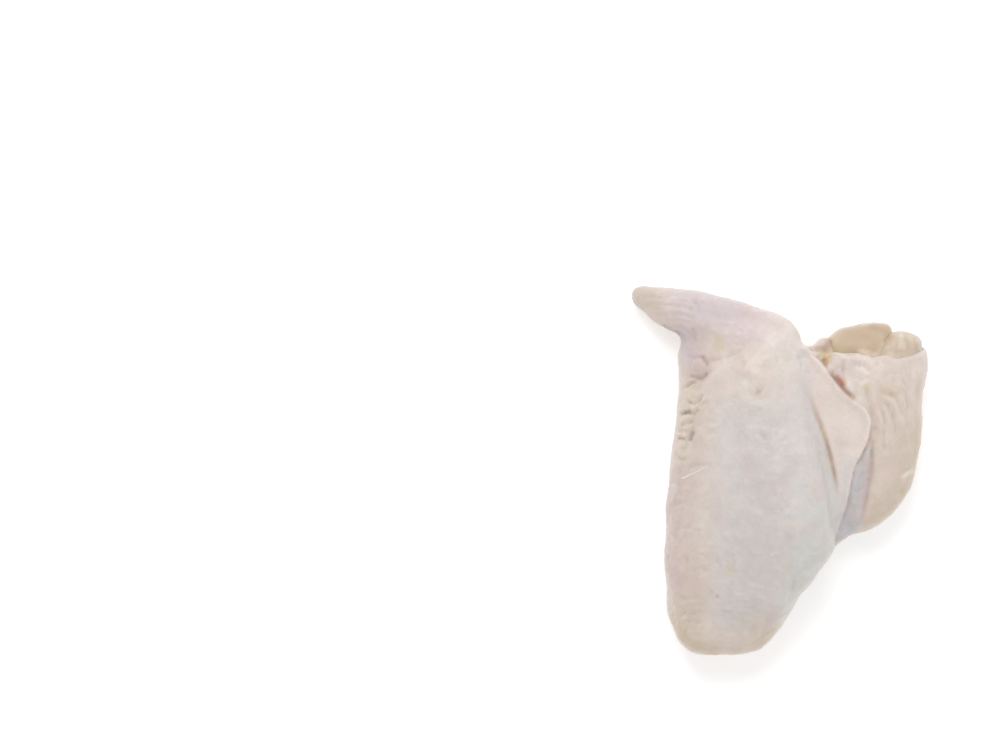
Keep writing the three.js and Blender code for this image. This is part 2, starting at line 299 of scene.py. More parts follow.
@dataclass(frozen=True)
class Wrinkles:
    """Fine lines all over the skin that follow one direction, wander and break off."""

    size: Point
    turn: float
    seed: int
    depth: float
    sharpness: float = 0.11
    wander: float = 1.2
    wander_size: float = 7
    gap_size: float = 6

    def lines(self, points: np.ndarray) -> np.ndarray:
        """Finds the lines.

        Args:
            points: Places in millimetres, one row each.

        Returns:
            1 for each point on a line, falling to 0 beside it.
        """
        bent = points.astype(float)
        bent[:, 0] += self.wander * grain(points, self.wander_size, self.seed + 70)
        bent[:, 1] += self.wander * grain(points, self.wander_size, self.seed + 71)
        lines = np.exp(-((grain(bent, self.size, self.seed, self.turn) / self.sharpness) ** 2))
        return lines * eased(grain(points, self.gap_size, self.seed + 50), -0.12, 0.3)


@dataclass(frozen=True)
class Nudge:
    """A soft shift in plan, which brings the outline to the wing's own."""

    place: tuple[float, float]
    move: tuple[float, float]
    reach: float

    def shift(self, plan: np.ndarray) -> np.ndarray:
        """Gives how far each point in plan is shifted."""
        near = bell(np.hypot(*(plan - np.array(self.place)).T), 0, self.reach)
        return near[:, None] * np.array(self.move)


class Surface:
    """A mesh's vertices in millimetres, with the moves that shape them."""

    def __init__(self, piece: bpy.types.Object) -> None:
        """Reads the vertices and edges of a piece.

        Args:
            piece: A mesh object at the origin.
        """
        self.piece = piece
        mesh = piece.data
        self.points = self._read(mesh.vertices, "co") / MM
        self.edges = self._read(mesh.edges, "vertices", 2, np.int32)
        self.valence = np.maximum(np.bincount(self.edges.ravel(), minlength=len(self.points)), 1)
        self.tone = np.tile(Tone.PALE.linear(), (len(self.points), 1))

    @staticmethod
    def _read(
        items: bpy.types.bpy_prop_collection, name: str, width: int = 3, kind: type = np.float32
    ) -> np.ndarray:
        """Reads a value of every item of a mesh.

        Args:
            items: The mesh's vertices, edges or normals.
            name: The value's name.
            width: How many numbers the value has.
            kind: What the numbers are.

        Returns:
            One row for each item.
        """
        rows = np.empty(len(items) * width, kind)
        items.foreach_get(name, rows)
        return rows.reshape(-1, width)

    @property
    def plan(self) -> np.ndarray:
        """The vertices' places in plan."""
        return self.points[:, :2].astype(float)

    def normals(self) -> np.ndarray:
        """Writes the vertices and gives their normals."""
        self.write()
        return self._read(self.piece.data.vertex_normals, "vector")

    def average(self, values: np.ndarray) -> np.ndarray:
        """Evens out values between neighbours.

        Args:
            values: One row for each vertex.

        Returns:
            The mean of its neighbours' rows for each vertex.
        """
        a, b = self.edges.T
        count = len(self.points)
        total = [np.bincount(a, column[b], count) + np.bincount(b, column[a], count) for column in values.T]
        return np.column_stack(total) / self.valence[:, None]

    def spread(self, values: np.ndarray, passes: int) -> np.ndarray:
        """Softens a value over the surface.

        Args:
            values: One value for each vertex.
            passes: How often each vertex goes halfway to the mean of its neighbours.

        Returns:
            The softened values.
        """
        for _ in range(passes):
            values = 0.5 * values + 0.5 * self.average(values[:, None])[:, 0]
        return values

    def relax(self, passes: int, share: np.ndarray | float = 1.0) -> None:
        """Evens the surface out.

        Args:
            passes: How often each vertex moves halfway to the mean of its neighbours.
            share: How much of that move each vertex makes.
        """
        pull = np.broadcast_to(np.asarray(share, float), len(self.points))[:, None]
        for _ in range(passes):
            self.points += (0.5 * pull * (self.average(self.points) - self.points)).astype(np.float32)

    def push(self, heights: np.ndarray) -> None:
        """Moves each vertex out along its normal by a height in millimetres."""
        self.points += (self.normals() * heights[:, None]).astype(np.float32)

    def nudge(self, nudges: tuple[Nudge, ...]) -> None:
        """Shifts the surface in plan."""
        plan = self.plan
        self.points[:, :2] += sum(each.shift(plan) for each in nudges).astype(np.float32)

    def cling(self, tree: BVHTree, share: np.ndarray, reach: float, gap: float = -0.08) -> None:
        """Draws vertices against another surface.

        Args:
            tree: The surface that they come to lie on.
            share: How far each vertex goes, from 0 to 1.
            reach: How near a vertex must be to be drawn at all, in millimetres.
            gap: What stays free between the two, in millimetres, and negative where they overlap.
        """
        for i in np.flatnonzero(share > 0.01):
            place, normal, _, distance = tree.find_nearest(Vector(self.points[i] * MM), reach * MM)
            if place is None:
                continue
            near = 1 - float(eased(distance / MM, 0.55 * reach, reach))
            target = np.array(place + normal * gap * MM) / MM
            self.points[i] += share[i] * near * (target - self.points[i])

    def paint(self, tone: Tone, share: np.ndarray) -> None:
        """Mixes a colour into each vertex's own by a share from 0 to 1."""
        self.tone += (tone.linear() - self.tone) * np.clip(share, 0, 1)[:, None]

    def hollows(self, passes: int) -> np.ndarray:
        """Tells how deep each vertex lies below its surroundings, in millimetres.

        Args:
            passes: How wide the surroundings are, in passes of softening.

        Returns:
            The depth, negative on ridges.
        """
        wide = self.points.astype(float)
        for _ in range(passes):
            wide = 0.5 * wide + 0.5 * self.average(wide)
        return ((wide - self.points) * self.normals()).sum(axis=1)

    def seen_from_above(self) -> np.ndarray:
        """Tells how far each vertex belongs to the upper side.

        Returns:
            1 where nothing lies over a vertex and its surface faces up, falling softly to 0 elsewhere.
        """
        normals = self.normals()
        tree = tree_of(self.piece)
        seen = np.zeros(len(self.points))
        for i in np.flatnonzero(normals[:, 2] > 0.02):
            start = Vector(self.points[i] * MM) + Vector(normals[i]) * 0.3 * MM
            seen[i] = tree.ray_cast(start, UP)[0] is None
        return self.spread(seen, 4) * eased(normals[:, 2], 0.0, 0.35)

    def write(self) -> None:
        """Puts the vertices back into the mesh."""
        mesh = self.piece.data
        mesh.vertices.foreach_set("co", (self.points * MM).astype(np.float32).ravel())
        mesh.update()

    def write_tone(self) -> None:
        """Stores the painted colour on the mesh for its material."""
        store = self.piece.data.attributes.new("tone", "FLOAT_COLOR", "POINT")
        store.data.foreach_set("color", np.column_stack([self.tone, np.ones(len(self.tone))]).ravel())


@dataclass(frozen=True)
class Fold:
    """A fold or crease of the skin along a line that is seen from above."""

    route: Route
    width: float
    height: float
    profile: Profile = Profile.CREASE
    fade: tuple[float, float] = (0.18, 0.18)

    def relief(self, plan: np.ndarray) -> np.ndarray:
        """Gives the height that the fold adds.

        Args:
            plan: The points in plan, one row each.

        Returns:
            The height at each point, in millimetres.
        """
        distance, side, share = beside_route(plan, self.route, 4 * self.width)
        fade = eased(share, 0, self.fade[0]) * eased(1 - share, 0, self.fade[1])
        across = distance / self.width
        # a crease has low banks on both sides, and a rolled edge falls off sharply on one
        if self.profile is Profile.RIDGE:
            section = np.exp(-(across**2))
        elif self.profile is Profile.CREASE:
            section = 0.3 * bell(across, 1.9, 0.9) - np.exp(-(across**1.5))
        else:
            section = np.where(side < 0, bell(across, 1.2, 0.9), -0.8 * bell(across, 0.3, 0.5))
        return self.height * section * fade


@dataclass(frozen=True)
class Lump:
    """A rounded lump of skin that is seen from above."""

    place: tuple[float, float]
    radii: tuple[float, float]
    height: float
    turn: float = 0

    def relief(self, plan: np.ndarray) -> np.ndarray:
        """Gives the height that the lump adds.

        Args:
            plan: The points in plan, one row each.

        Returns:
            The height at each point, in millimetres.
        """
        c, s = math.cos(math.radians(self.turn)), math.sin(math.radians(self.turn))
        off = plan - np.array(self.place)
        along, across = off[:, 0] * c + off[:, 1] * s, off[:, 1] * c - off[:, 0] * s
        reach = np.hypot(along / self.radii[0], across / self.radii[1])
        # a shallow moat lies round the lump
        return self.height * (np.exp(-(reach**3)) - 0.3 * bell(reach, 1.35, 0.3))


@dataclass(frozen=True)
class Stroke:
    """A soft stroke of colour along a line that is seen from above."""

    tone: Tone
    route: Route
    reach: float
    strength: float
    core: float = 0.0
    fade: float = 0.0

    def share(self, plan: np.ndarray) -> np.ndarray:
        """Gives how much of the colour each point takes.

        Args:
            plan: The points in plan, one row each.

        Returns:
            A share from 0 to 1 for each point.
        """
        distance, _, along = beside_route(plan, self.route, self.core + 3 * self.reach)
        ends = eased(along, 0, self.fade) * eased(1 - along, 0, self.fade) if self.fade else 1.0
        return self.strength * ends * np.exp(-((np.maximum(distance - self.core, 0) / self.reach) ** 2))


@dataclass(frozen=True)
class Patch:
    """An area of colour with a soft edge that is seen from above."""

    tone: Tone
    outline: Route
    softness: float
    strength: float

    def share(self, plan: np.ndarray) -> np.ndarray:
        """Gives how much of the colour each point in plan takes."""
        return self.strength * soft_area(plan, self.outline, self.softness)


@dataclass(frozen=True)
class Mottle:
    """Soft spots of a colour all over a surface."""

    tone: Tone
    strength: float
    size: float
    seed: int
    span: tuple[float, float]

    def share(self, points: np.ndarray) -> np.ndarray:
        """Gives how much of the colour each point takes."""
        return self.strength * eased(grain(points, self.size, self.seed), *self.span)


def new_piece(name: str, shape: bmesh.types.BMesh) -> bpy.types.Object:
    """Makes a piece at the origin.

    Args:
        name: The piece's name.
        shape: Its shape, which is used up.

    Returns:
        The piece.
    """
    mesh = bpy.data.meshes.new(name)
    shape.to_mesh(mesh)
    shape.free()
    piece = bpy.data.objects.new(name, mesh)
    bpy.context.scene.collection.objects.link(piece)
    return piece


def tree_of(piece: bpy.types.Object) -> BVHTree:
    """Gives a piece's surface for finding places on it."""
    return BVHTree.FromObject(piece, bpy.context.evaluated_depsgraph_get())


def copy_of_node(node: str, name: str) -> bpy.types.Object:
    """Copies a node of the model into a piece of its own, with its loose triangles merged.

    Args:
        node: The node's name.
        name: The new piece's name.

    Returns:
        The new piece, at the origin.
    """
    shape = bmesh.new()
    shape.from_mesh(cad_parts[node].data)
    bmesh.ops.remove_doubles(shape, verts=shape.verts, dist=MERGE_DISTANCE * MM)
    return new_piece(name, shape)


def settle(piece: bpy.types.Object) -> None:
    """Puts a piece's modifiers into its mesh.

    Args:
        piece: The piece, which is changed.
    """
    bpy.context.view_layer.update()
    done = bpy.data.meshes.new_from_object(piece.evaluated_get(bpy.context.evaluated_depsgraph_get()))
    piece.modifiers.clear()
    old, piece.data = piece.data, done
    bpy.data.meshes.remove(old)
    done.name = piece.name


def remesh(piece: bpy.types.Object, voxel: float) -> None:
    """Gives a piece an even mesh over the union of all its parts.

    Args:
        piece: The piece, which is changed.
        voxel: The new mesh's step in millimetres.
    """
    step = piece.modifiers.new("even_mesh", "REMESH")
    step.mode = "VOXEL"
    step.voxel_size = voxel * MM
    settle(piece)


def thin_out(piece: bpy.types.Object, share: np.ndarray, ratio: float) -> None:
    """Takes faces away where they aren't needed.

    Args:
        piece: The piece, which is changed.
        share: 1 at the vertices that may go and 0 at those that stay.
        ratio: How many of all its faces stay.
    """
    group = piece.vertex_groups.new(name="plain")
    for level in range(1, WEIGHT_LEVELS + 1):
        rows = np.flatnonzero(np.round(share * WEIGHT_LEVELS) == level)
        group.add(rows.tolist(), level / WEIGHT_LEVELS, "REPLACE")
    step = piece.modifiers.new("fewer_faces", "DECIMATE")
    step.ratio = ratio
    step.vertex_group = group.name
    settle(piece)
    piece.vertex_groups.clear()


def add_part(piece: bpy.types.Object, part: bmesh.types.BMesh) -> None:
    """Adds a closed part to a piece's mesh, to be fused with it by the next remesh.

    Args:
        piece: The piece, which is changed.
        part: The part, which is used up.
    """
    mesh = bpy.data.meshes.new("part")
    part.to_mesh(mesh)
    part.free()
    whole = bmesh.new()
    whole.from_mesh(piece.data)
    whole.from_mesh(mesh)
    whole.to_mesh(piece.data)
    whole.free()
    bpy.data.meshes.remove(mesh)


def height_over(tree: BVHTree, x: float, y: float) -> float:
    """Finds how high a surface lies at a point in plan, in millimetres, or 0 where there is none."""
    hit = tree.ray_cast(Vector((x * MM, y * MM, RAY_HEIGHT)), DOWN)[0]
    return hit.z / MM if hit else 0.0


def laid_sheet(
    steps: tuple[int, int], thickness: float, place: Callable[[float, float], Point]
) -> bmesh.types.BMesh:
    """Makes a thin closed sheet whose upper face follows a rule.

    Args:
        steps: How many squares it has along and across.
        thickness: Its thickness in millimetres.
        place: Gives the upper face's point for a share along and a share across.

    Returns:
        The sheet.
    """
    shape = bmesh.new()
    bmesh.ops.create_grid(shape, x_segments=steps[0], y_segments=steps[1], size=1)
    for vert in shape.verts:
        vert.co = Vector(place((vert.co.x + 1) / 2, (vert.co.y + 1) / 2)) * MM
    for _ in range(SHEET_PASSES):
        inner = [v for v in shape.verts if not v.is_boundary]
        bmesh.ops.smooth_vert(shape, verts=inner, factor=0.5, use_axis_z=True)
    bmesh.ops.recalc_face_normals(shape, faces=shape.faces)
    if sum(face.normal.z for face in shape.faces) < 0:
        bmesh.ops.reverse_faces(shape, faces=shape.faces)
    bmesh.ops.solidify(shape, geom=shape.faces, thickness=thickness * MM)
    return shape


@dataclass(frozen=True)
class LooseFold:
    """The fold of loose skin beside the flat, whose free edge lies over the drumette."""

    free_edge: Route = (
        (6.2, 34.2), (8.7, 32.0), (10.5, 30.0), (12.1, 28.1), (14.5, 24.7), (16.8, 21.8), (19.5, 19.3),
        (22.9, 16.9), (24.6, 14.2), (24.5, 11.4), (23.8, 8.4), (22.0, 4.6), (20.2, 1.2), (19.3, -2.0),
        (18.7, -6.0), (17.9, -10.0), (16.7, -14.0), (15.4, -18.2), (14.4, -20.8),
    )
    root: Route = (
        (4.6, 33.4), (6.6, 25.0), (8.3, 18.0), (10.2, 11.4), (11.6, 7.0), (13.3, 1.0), (14.4, -4.0),
        (14.9, -8.5), (14.6, -13.0), (13.8, -18.0),
    )
    lift: float = 1.1
    lift_reach: float = 2.8
    thickness: float = 1.2
    inset: float = 3.0
    inset_fades: tuple[float, float] = (0.62, 0.9)
    root_sink: float = 1.5
    end_sink: float = 0.8

    def build(self, under: BVHTree) -> bmesh.types.BMesh:
        """Lays the fold over the wing's surface.

        Args:
            under: The surface that it lies on.

        Returns:
            The fold as a thin closed body.
        """
        sides = side_by_side(self.free_edge, self.root, 300)

        def place(along: float, across: float) -> Point:
            """Finds the upper face's point.

            Args:
                along: How far along the fold, from 0 to 1.
                across: How far from its free edge to its root, from 0 to 1.

            Returns:
                The point in millimetres.
            """
            edge, far = sides(along)
            width = max(float(np.hypot(*(far - edge))), 1e-6)
            depth = across * width
            inset = self.inset * (1 - float(eased(along, *self.inset_fades)))
            sample = edge + (far - edge) * min(max(depth, inset) / width, 1)
            lift = self.lift * math.sin(math.pi * along**0.7) ** 0.7 * math.exp(-depth / self.lift_reach)
            at_root, at_end = beyond(across, 0.7, 0.3), beyond(along, 0.85, 0.15)
            sink = self.root_sink * at_root**2 + self.end_sink * at_end
            x, y = edge + (far - edge) * across
            return x, y, height_over(under, *sample) + lift - sink

        return laid_sheet((130, 30), self.thickness, place)


@dataclass(frozen=True)
class Hem:
    """The skin's edge at the cut, which lies over the meat."""

    free_edge: Route = (
        (9.2, 32.4), (11.2, 31.6), (13.0, 31.4), (15.0, 32.0), (17.4, 31.9), (20.2, 32.0), (22.6, 31.6),
        (25.0, 31.2), (28.0, 31.2), (31.0, 31.4), (34.0, 31.6), (36.4, 31.9), (38.4, 32.2),
    )
    root: Route = ((9.4, 27.6), (13.0, 26.4), (20.0, 26.0), (28.0, 25.8), (32.0, 25.8), (36.6, 26.0))
    cover: float = 1.25
    high_spot: tuple[float, float] = (20.5, 2.4)
    high_spot_rise: float = 0.3
    follows_meat_to: float = 31.0
    follows_skin_to: float = 29.5
    skin_sink: float = 0.2
    bridge: float = 20.6
    bridge_start: float = 10.0
    bridge_rise: float = 0.42
    bridge_reach: tuple[float, float] = (15.5, 20.0)
    edge_sink: float = 0.35
    root_sink: float = 0.5
    thickness: float = 1.15

    def build(self, meat: BVHTree, under: BVHTree) -> bmesh.types.BMesh:
        """Lays the edge over the meat.

        Args:
            meat: The meat's surface.
            under: The skin, which the edge follows where there is no meat.

        Returns:
            The edge as a thin closed body.
        """
        sides = side_by_side(self.free_edge, self.root, 200)

        def place(along: float, across: float) -> Point:
            """Finds the upper face's point.

            Args:
                along: How far along the cut, from 0 to 1.
                across: How far from its free edge to its root, from 0 to 1.

            Returns:
                The point in millimetres.
            """
            edge, far = sides(along)
            x, y = edge + (far - edge) * across
            cover = self.cover + self.high_spot_rise * float(bell(x, *self.high_spot))
            on_meat = height_over(meat, x, min(y, self.follows_meat_to)) + cover
            on_skin = height_over(under, x, min(y, self.follows_skin_to)) - self.skin_sink
            lying = max(on_meat, on_skin)
            bridge = self.bridge + self.bridge_rise * (x - self.bridge_start)
            on_bridge = 1 - float(eased(x, *self.bridge_reach))
            z = max(lying, bridge * on_bridge + lying * (1 - on_bridge))
            z -= self.edge_sink * math.exp(-across * 7)
            return x, y, z - self.root_sink * beyond(across, 0.8, 0.2)

        return laid_sheet((120, 20), self.thickness, place)


@dataclass(frozen=True)
class Membrane:
    """The torn membrane between the loose fold and the meat."""

    rim: Route = (
        (7.4, 33.3, 23.6), (9.6, 33.7, 22.6), (10.4, 34.6, 21.8), (11.2, 35.6, 20.8), (12.8, 36.0, 19.2),
        (15.2, 36.5, 16.4),
    )
    foot: Route = (
        (8.2, 30.6, 22.8), (10.4, 30.0, 22.4), (12.4, 30.2, 22.2), (14.2, 31.2, 21.4), (15.6, 32.8, 19.2),
        (17.0, 34.6, 15.6),
    )
    thickness: float = 1.3
    sag: float = 0.3

    def build(self) -> bmesh.types.BMesh:
        """Stretches the membrane between its rim and its foot.

        Returns:
            The membrane as a thin closed body.
        """
        sides = side_by_side(self.rim, self.foot, 60)

        def place(along: float, across: float) -> Point:
            """Finds the upper face's point.

            Args:
                along: How far along the membrane, from 0 to 1.
                across: How far from its rim to its foot, from 0 to 1.

            Returns:
                The point in millimetres.
            """
            top, low = sides(along)
            x, y, z = top + (low - top) * across
            return x, y, z - self.sag * math.sin(math.pi * across)

        return laid_sheet((44, 18), self.thickness, place)


@dataclass(frozen=True)
class Follicles:
    """The small raised pits from which the feathers were plucked."""

    spacing: float = 3.0
    radius: float = 0.72
    radius_range: tuple[float, float] = (0.75, 1.35)
    height: float = 0.2
    height_range: tuple[float, float] = (0.5, 1.3)
    pit_width: float = 0.45
    pit_depth: float = 0.35
    tint: float = 0.35
    least_allowed: float = 0.15
    sparsest: float = 0.4
    cell: float = 2.5
    search: float = 2.5
    seed: int = 11

    def places(self, surface: Surface, allowed: np.ndarray) -> list[int]:
        """Chooses vertices that lie a spacing apart.

        Args:
            surface: The skin.
            allowed: 1 where the follicles stand closest, falling to 0 where there are none.

        Returns:
            The chosen vertices' numbers.
        """
        draw = np.random.default_rng(self.seed)
        order = draw.permutation(np.flatnonzero(allowed > self.least_allowed))
        around = [(dx, dy, dz) for dx in (-1, 0, 1) for dy in (-1, 0, 1) for dz in (-1, 0, 1)]
        taken: dict[tuple[int, ...], list[int]] = {}
        chosen = []
        for i in order:
            gap = self.spacing / max(allowed[i], self.sparsest)
            cell = tuple(int(v) for v in np.floor(surface.points[i] / (self.cell * self.spacing)))
            near = [j for step in around for j in taken.get(tuple(c + s for c, s in zip(cell, step)), ())]
            if near and np.min(np.linalg.norm(surface.points[near] - surface.points[i], axis=1)) < gap:
                continue
            taken.setdefault(cell, []).append(i)
            chosen.append(int(i))
        return chosen

    def raise_on(self, surface: Surface, allowed: np.ndarray) -> int:
        """Raises the follicles on the skin, each with a small pit, and tints their tips.

        Args:
            surface: The skin, which is changed.
            allowed: Where they stand, as in places.

        Returns:
            How many were raised.
        """
        tree = kdtree.KDTree(len(surface.points))
        for i, point in enumerate(surface.points):
            tree.insert(point, i)
        tree.balance()
        draw = np.random.default_rng(self.seed + 1)
        heights = np.zeros(len(surface.points))
        tips = np.zeros(len(surface.points))
        chosen = self.places(surface, allowed)
        for i in chosen:
            radius = self.radius * draw.uniform(*self.radius_range)
            height = self.height * draw.uniform(*self.height_range)
            for _, j, distance in tree.find_range(surface.points[i], self.search * radius):
                inner = math.exp(-((distance / (self.pit_width * radius)) ** 2))
                heights[j] += height * (math.exp(-((distance / radius) ** 2)) - self.pit_depth * inner)
                tips[j] = max(tips[j], inner)
        surface.push(heights)
        surface.paint(Tone.WARM, self.tint * tips)
        return len(chosen)


TIP_FOLDS: tuple[Fold, ...] = (
    Fold(((-36.5, 46.9), (-31.0, 46.7), (-27.0, 47.1), (-22.5, 46.6)), 0.5, 0.22),
    Fold(((-33.8, 44.8), (-30.0, 44.5), (-26.5, 44.3), (-21.8, 43.0)), 0.5, 0.25),
    Fold(((-37.2, 45.2), (-34.0, 43.6), (-30.5, 43.4)), 0.5, 0.18),
    Fold(((-32.6, 42.2), (-29.0, 41.8), (-25.6, 41.9), (-22.0, 40.6)), 0.5, 0.25),
    Fold(((-30.4, 40.3), (-26.4, 40.4), (-22.4, 39.0)), 0.5, 0.22),
    Fold(((-27.5, 45.7), (-24.5, 45.4), (-20.0, 44.6), (-15.5, 43.4)), 0.5, 0.13),
    Fold(((-22.9, 46.2), (-22.2, 45.0), (-21.6, 43.0)), 0.5, 0.24),
    Fold(((-23.2, 38.4), (-22.2, 36.8), (-22.3, 34.2)), 0.6, 0.28),
    Fold(((-20.6, 42.4), (-16.0, 41.2), (-12.0, 40.8)), 0.6, 0.11),
    Fold(((-18.6, 39.0), (-14.6, 38.6), (-11.0, 39.2)), 0.6, 0.1),
    Fold(((-16.9, 33.4), (-12.8, 36.4), (-10.0, 37.9)), 0.6, 0.12),
    Fold(((-13.5, 34.4), (-9.6, 36.8), (-7.0, 38.2)), 0.5, 0.11),
)
WRIST_FOLDS: tuple[Fold, ...] = (
    Fold(
        ((-19.9, 27.6), (-18.6, 29.4), (-15.5, 30.1), (-13.0, 31.0), (-11.2, 31.9), (-7.0, 35.8)), 0.6, 0.32
    ),
    Fold(((-24.6, 30.4), (-22.0, 31.0), (-19.8, 30.0)), 0.5, 0.43),
    Fold(((-24.4, 25.4), (-22.0, 25.0), (-20.3, 25.3), (-19.6, 26.8)), 0.45, 0.52),
    Fold(((-24.9, 22.2), (-23.0, 23.8), (-20.2, 24.5)), 0.5, 0.47),
    Fold(((-24.7, 18.7), (-23.0, 17.9), (-21.8, 18.6), (-20.1, 20.9)), 0.45, 0.52),
    Fold(((-26.6, 15.0), (-24.9, 15.5), (-23.6, 15.6)), 0.5, 0.69),
    Fold(((-22.3, 16.5), (-21.5, 15.6)), 0.45, 0.26),
    Fold(((-22.8, 10.5), (-23.6, 9.3), (-23.8, 7.6)), 0.55, 0.6),
    Fold(((-27.6, 11.0), (-26.0, 10.4)), 0.5, 0.43),
    Fold(((-27.2, 8.6), (-24.8, 8.3)), 0.45, 0.3),
    Fold(((-28.2, 4.9), (-26.6, 3.2), (-24.8, 3.0)), 0.6, 0.39),
    Fold(((-24.6, 0.3), (-21.5, 1.5), (-17.8, 1.3)), 0.5, 0.22),
    Fold(((-28.4, -3.0), (-26.4, -4.0), (-23.6, -3.6)), 0.6, 0.22),
    Fold(((-29.2, -10.4), (-27.2, -9.0), (-25.0, -9.2)), 0.6, 0.23),
    Fold(((-20.4, 13.6), (-17.0, 13.2)), 0.5, 0.14),
    Fold(((-20.4, 9.8), (-17.2, 10.2), (-15.0, 10.8)), 0.5, 0.14),
    Fold(((-5.4, 21.6), (-5.9, 20.0)), 0.6, 0.26),
    Fold(((-5.1, 17.3), (-5.9, 15.6)), 0.6, 0.22),
    Fold(((-5.6, 10.4), (-4.6, 9.2), (-4.0, 7.6)), 0.6, 0.27),
)
ELBOW_FOLDS: tuple[Fold, ...] = (
    Fold(((1.7, -15.6), (2.5, -18.4), (2.3, -20.6), (3.0, -23.6)), 0.8, 0.17, fade=(0.35, 0.35)),
    Fold(((4.3, -26.0), (3.7, -29.6), (4.0, -33.0), (2.9, -38.0)), 1.0, 0.1, fade=(0.4, 0.3)),
    Fold(((1.6, -18.4), (0.3, -21.8)), 0.5, 0.15),
    Fold(((-2.8, -18.4), (-5.3, -22.0)), 0.55, 0.14),
    Fold(((-3.4, -25.8), (-6.4, -29.0), (-8.9, -31.3)), 0.55, 0.14),
    Fold(((-25.6, -22.8), (-24.6, -25.0), (-25.1, -28.6)), 0.6, 0.26),
    Fold(((-28.2, -33.4), (-25.4, -34.4), (-21.0, -34.0)), 0.6, 0.2),
    Fold(((-22.0, -36.2), (-17.8, -36.5)), 0.6, 0.12),
    Fold(((-27.8, -38.3), (-25.0, -38.6), (-22.0, -38.3)), 0.6, 0.2),
    Fold(((-26.8, -41.2), (-23.2, -41.2), (-19.6, -40.2)), 0.6, 0.14),
    Fold(((-24.6, -44.0), (-21.0, -44.3), (-17.6, -43.6)), 0.7, 0.11),
    Fold(((-17.0, -24.2), (-15.5, -26.1)), 0.5, 0.2),
    Fold(((7.0, -20.4), (9.4, -21.6), (12.4, -21.0)), 0.7, 0.12),
    Fold(((-29.6, -16.8), (-27.6, -18.2), (-26.4, -20.2)), 0.6, 0.19),
)
DRUMETTE_FOLDS: tuple[Fold, ...] = (
    Fold(((17.7, 30.2), (17.2, 27.5), (17.3, 25.0)), 0.6, 0.18),
    Fold(((19.4, 28.6), (22.2, 28.0), (24.7, 26.2)), 0.6, 0.13),
    Fold(((20.0, 24.9), (22.3, 24.2), (24.5, 25.1)), 0.6, 0.15),
    Fold(((26.1, 29.3), (26.9, 27.3), (26.1, 25.0)), 0.6, 0.18),
    Fold(((28.0, 25.1), (30.5, 26.2), (33.0, 25.5)), 0.5, 0.17),
    Fold(((23.3, 22.4), (24.0, 18.8), (25.1, 15.4), (25.8, 12.4), (25.7, 9.4)), 0.75, 0.45),
    Fold(((26.0, 22.8), (28.2, 21.0), (31.0, 19.9), (32.3, 18.2), (33.3, 15.6), (34.0, 12.8)), 0.8, 0.44),
    Fold(((26.2, 21.6), (27.9, 18.9), (29.7, 16.9), (31.0, 14.2), (31.5, 11.2), (31.2, 7.4)), 0.8, 0.47),
    Fold(((26.7, 18.8), (28.0, 15.6), (28.6, 12.0), (28.2, 7.8), (28.6, 4.2)), 0.6, 0.36),
    Fold(((33.6, 21.7), (34.9, 17.0), (34.4, 13.5), (35.3, 10.0)), 0.6, 0.4),
    Fold(((36.6, 28.0), (37.2, 24.0), (36.8, 19.6)), 0.6, 0.18),
    Fold(((33.0, 24.6), (34.4, 22.4), (34.8, 20.0)), 0.6, 0.17),
    Fold(((30.2, 13.4), (29.7, 8.8), (30.2, 3.6)), 0.55, 0.25),
    Fold(((32.4, -3.0), (34.0, -1.5), (35.6, -0.4), (37.4, 0.5)), 0.65, 0.34, Profile.RIDGE, (0.4, 0.3)),
    Fold(((32.6, -1.6), (34.4, -0.3), (36.4, 0.9)), 0.6, 0.26, fade=(0.4, 0.4)),
    Fold(((20.0, -5.7), (21.6, -5.0), (23.4, -3.8)), 0.5, 0.15),
)
LUMPS: tuple[Lump, ...] = (
    Lump((-21.6, 27.6), (1.7, 2.1), 0.66),
    Lump((-17.3, 26.2), (1.2, 2.4), 0.38, -25),
    Lump((-23.4, 21.0), (1.6, 2.0), 0.66, -35),
    Lump((-22.8, 17.2), (0.9, 1.7), 0.39, -15),
    Lump((-24.7, 13.8), (1.8, 1.1), 0.57, 25),
    Lump((-24.2, 11.8), (1.4, 0.9), 0.38, 20),
    Lump((-25.8, 9.6), (1.3, 0.8), 0.38, 10),
    Lump((-26.0, 6.8), (1.1, 1.2), 0.38),
    Lump((-27.0, 1.2), (1.0, 1.5), 0.28, 15),
    Lump((-27.6, -6.4), (1.1, 2.2), 0.28, 8),
    Lump((-28.0, -14.4), (1.1, 2.4), 0.28, 4),
    Lump((-19.2, 19.4), (1.5, 0.8), 0.2, 10),
    Lump((-18.4, 12.0), (2.2, 0.7), 0.18),
    Lump((-19.0, 7.0), (1.4, 0.6), 0.14),
    Lump((-16.0, 16.4), (1.6, 1.1), 0.14, 30),
    Lump((17.4, 28.8), (0.9, 1.3), 0.14),
    Lump((16.0, 26.4), (0.8, 1.5), 0.19, 30),
    Lump((20.8, 26.7), (1.9, 1.2), 0.23, 10),
    Lump((21.8, 30.0), (2.3, 0.9), 0.14, 4),
    Lump((21.3, 22.4), (1.3, 1.9), 0.2, 20),
    Lump((24.6, 28.6), (1.1, 1.2), 0.14),
    Lump((28.6, 27.6), (1.6, 1.3), 0.14, 10),
    Lump((32.4, 28.4), (1.9, 1.3), 0.12, -8),
    Lump((29.0, 23.4), (1.6, 1.2), 0.14, -20),
    Lump((33.0, 22.0), (1.3, 1.7), 0.11, 10),
    Lump((36.4, 26.0), (1.0, 2.2), 0.11, 5),
    Lump((-16.7, -34.0), (0.65, 0.65), -0.28),
    Lump((-9.8, 28.9), (0.7, 0.7), -0.14),
    Lump((-20.2, -28.4), (1.6, 1.2), 0.14, 20),
    Lump((-11.0, -38.6), (2.0, 1.2), 0.08, -10),
)
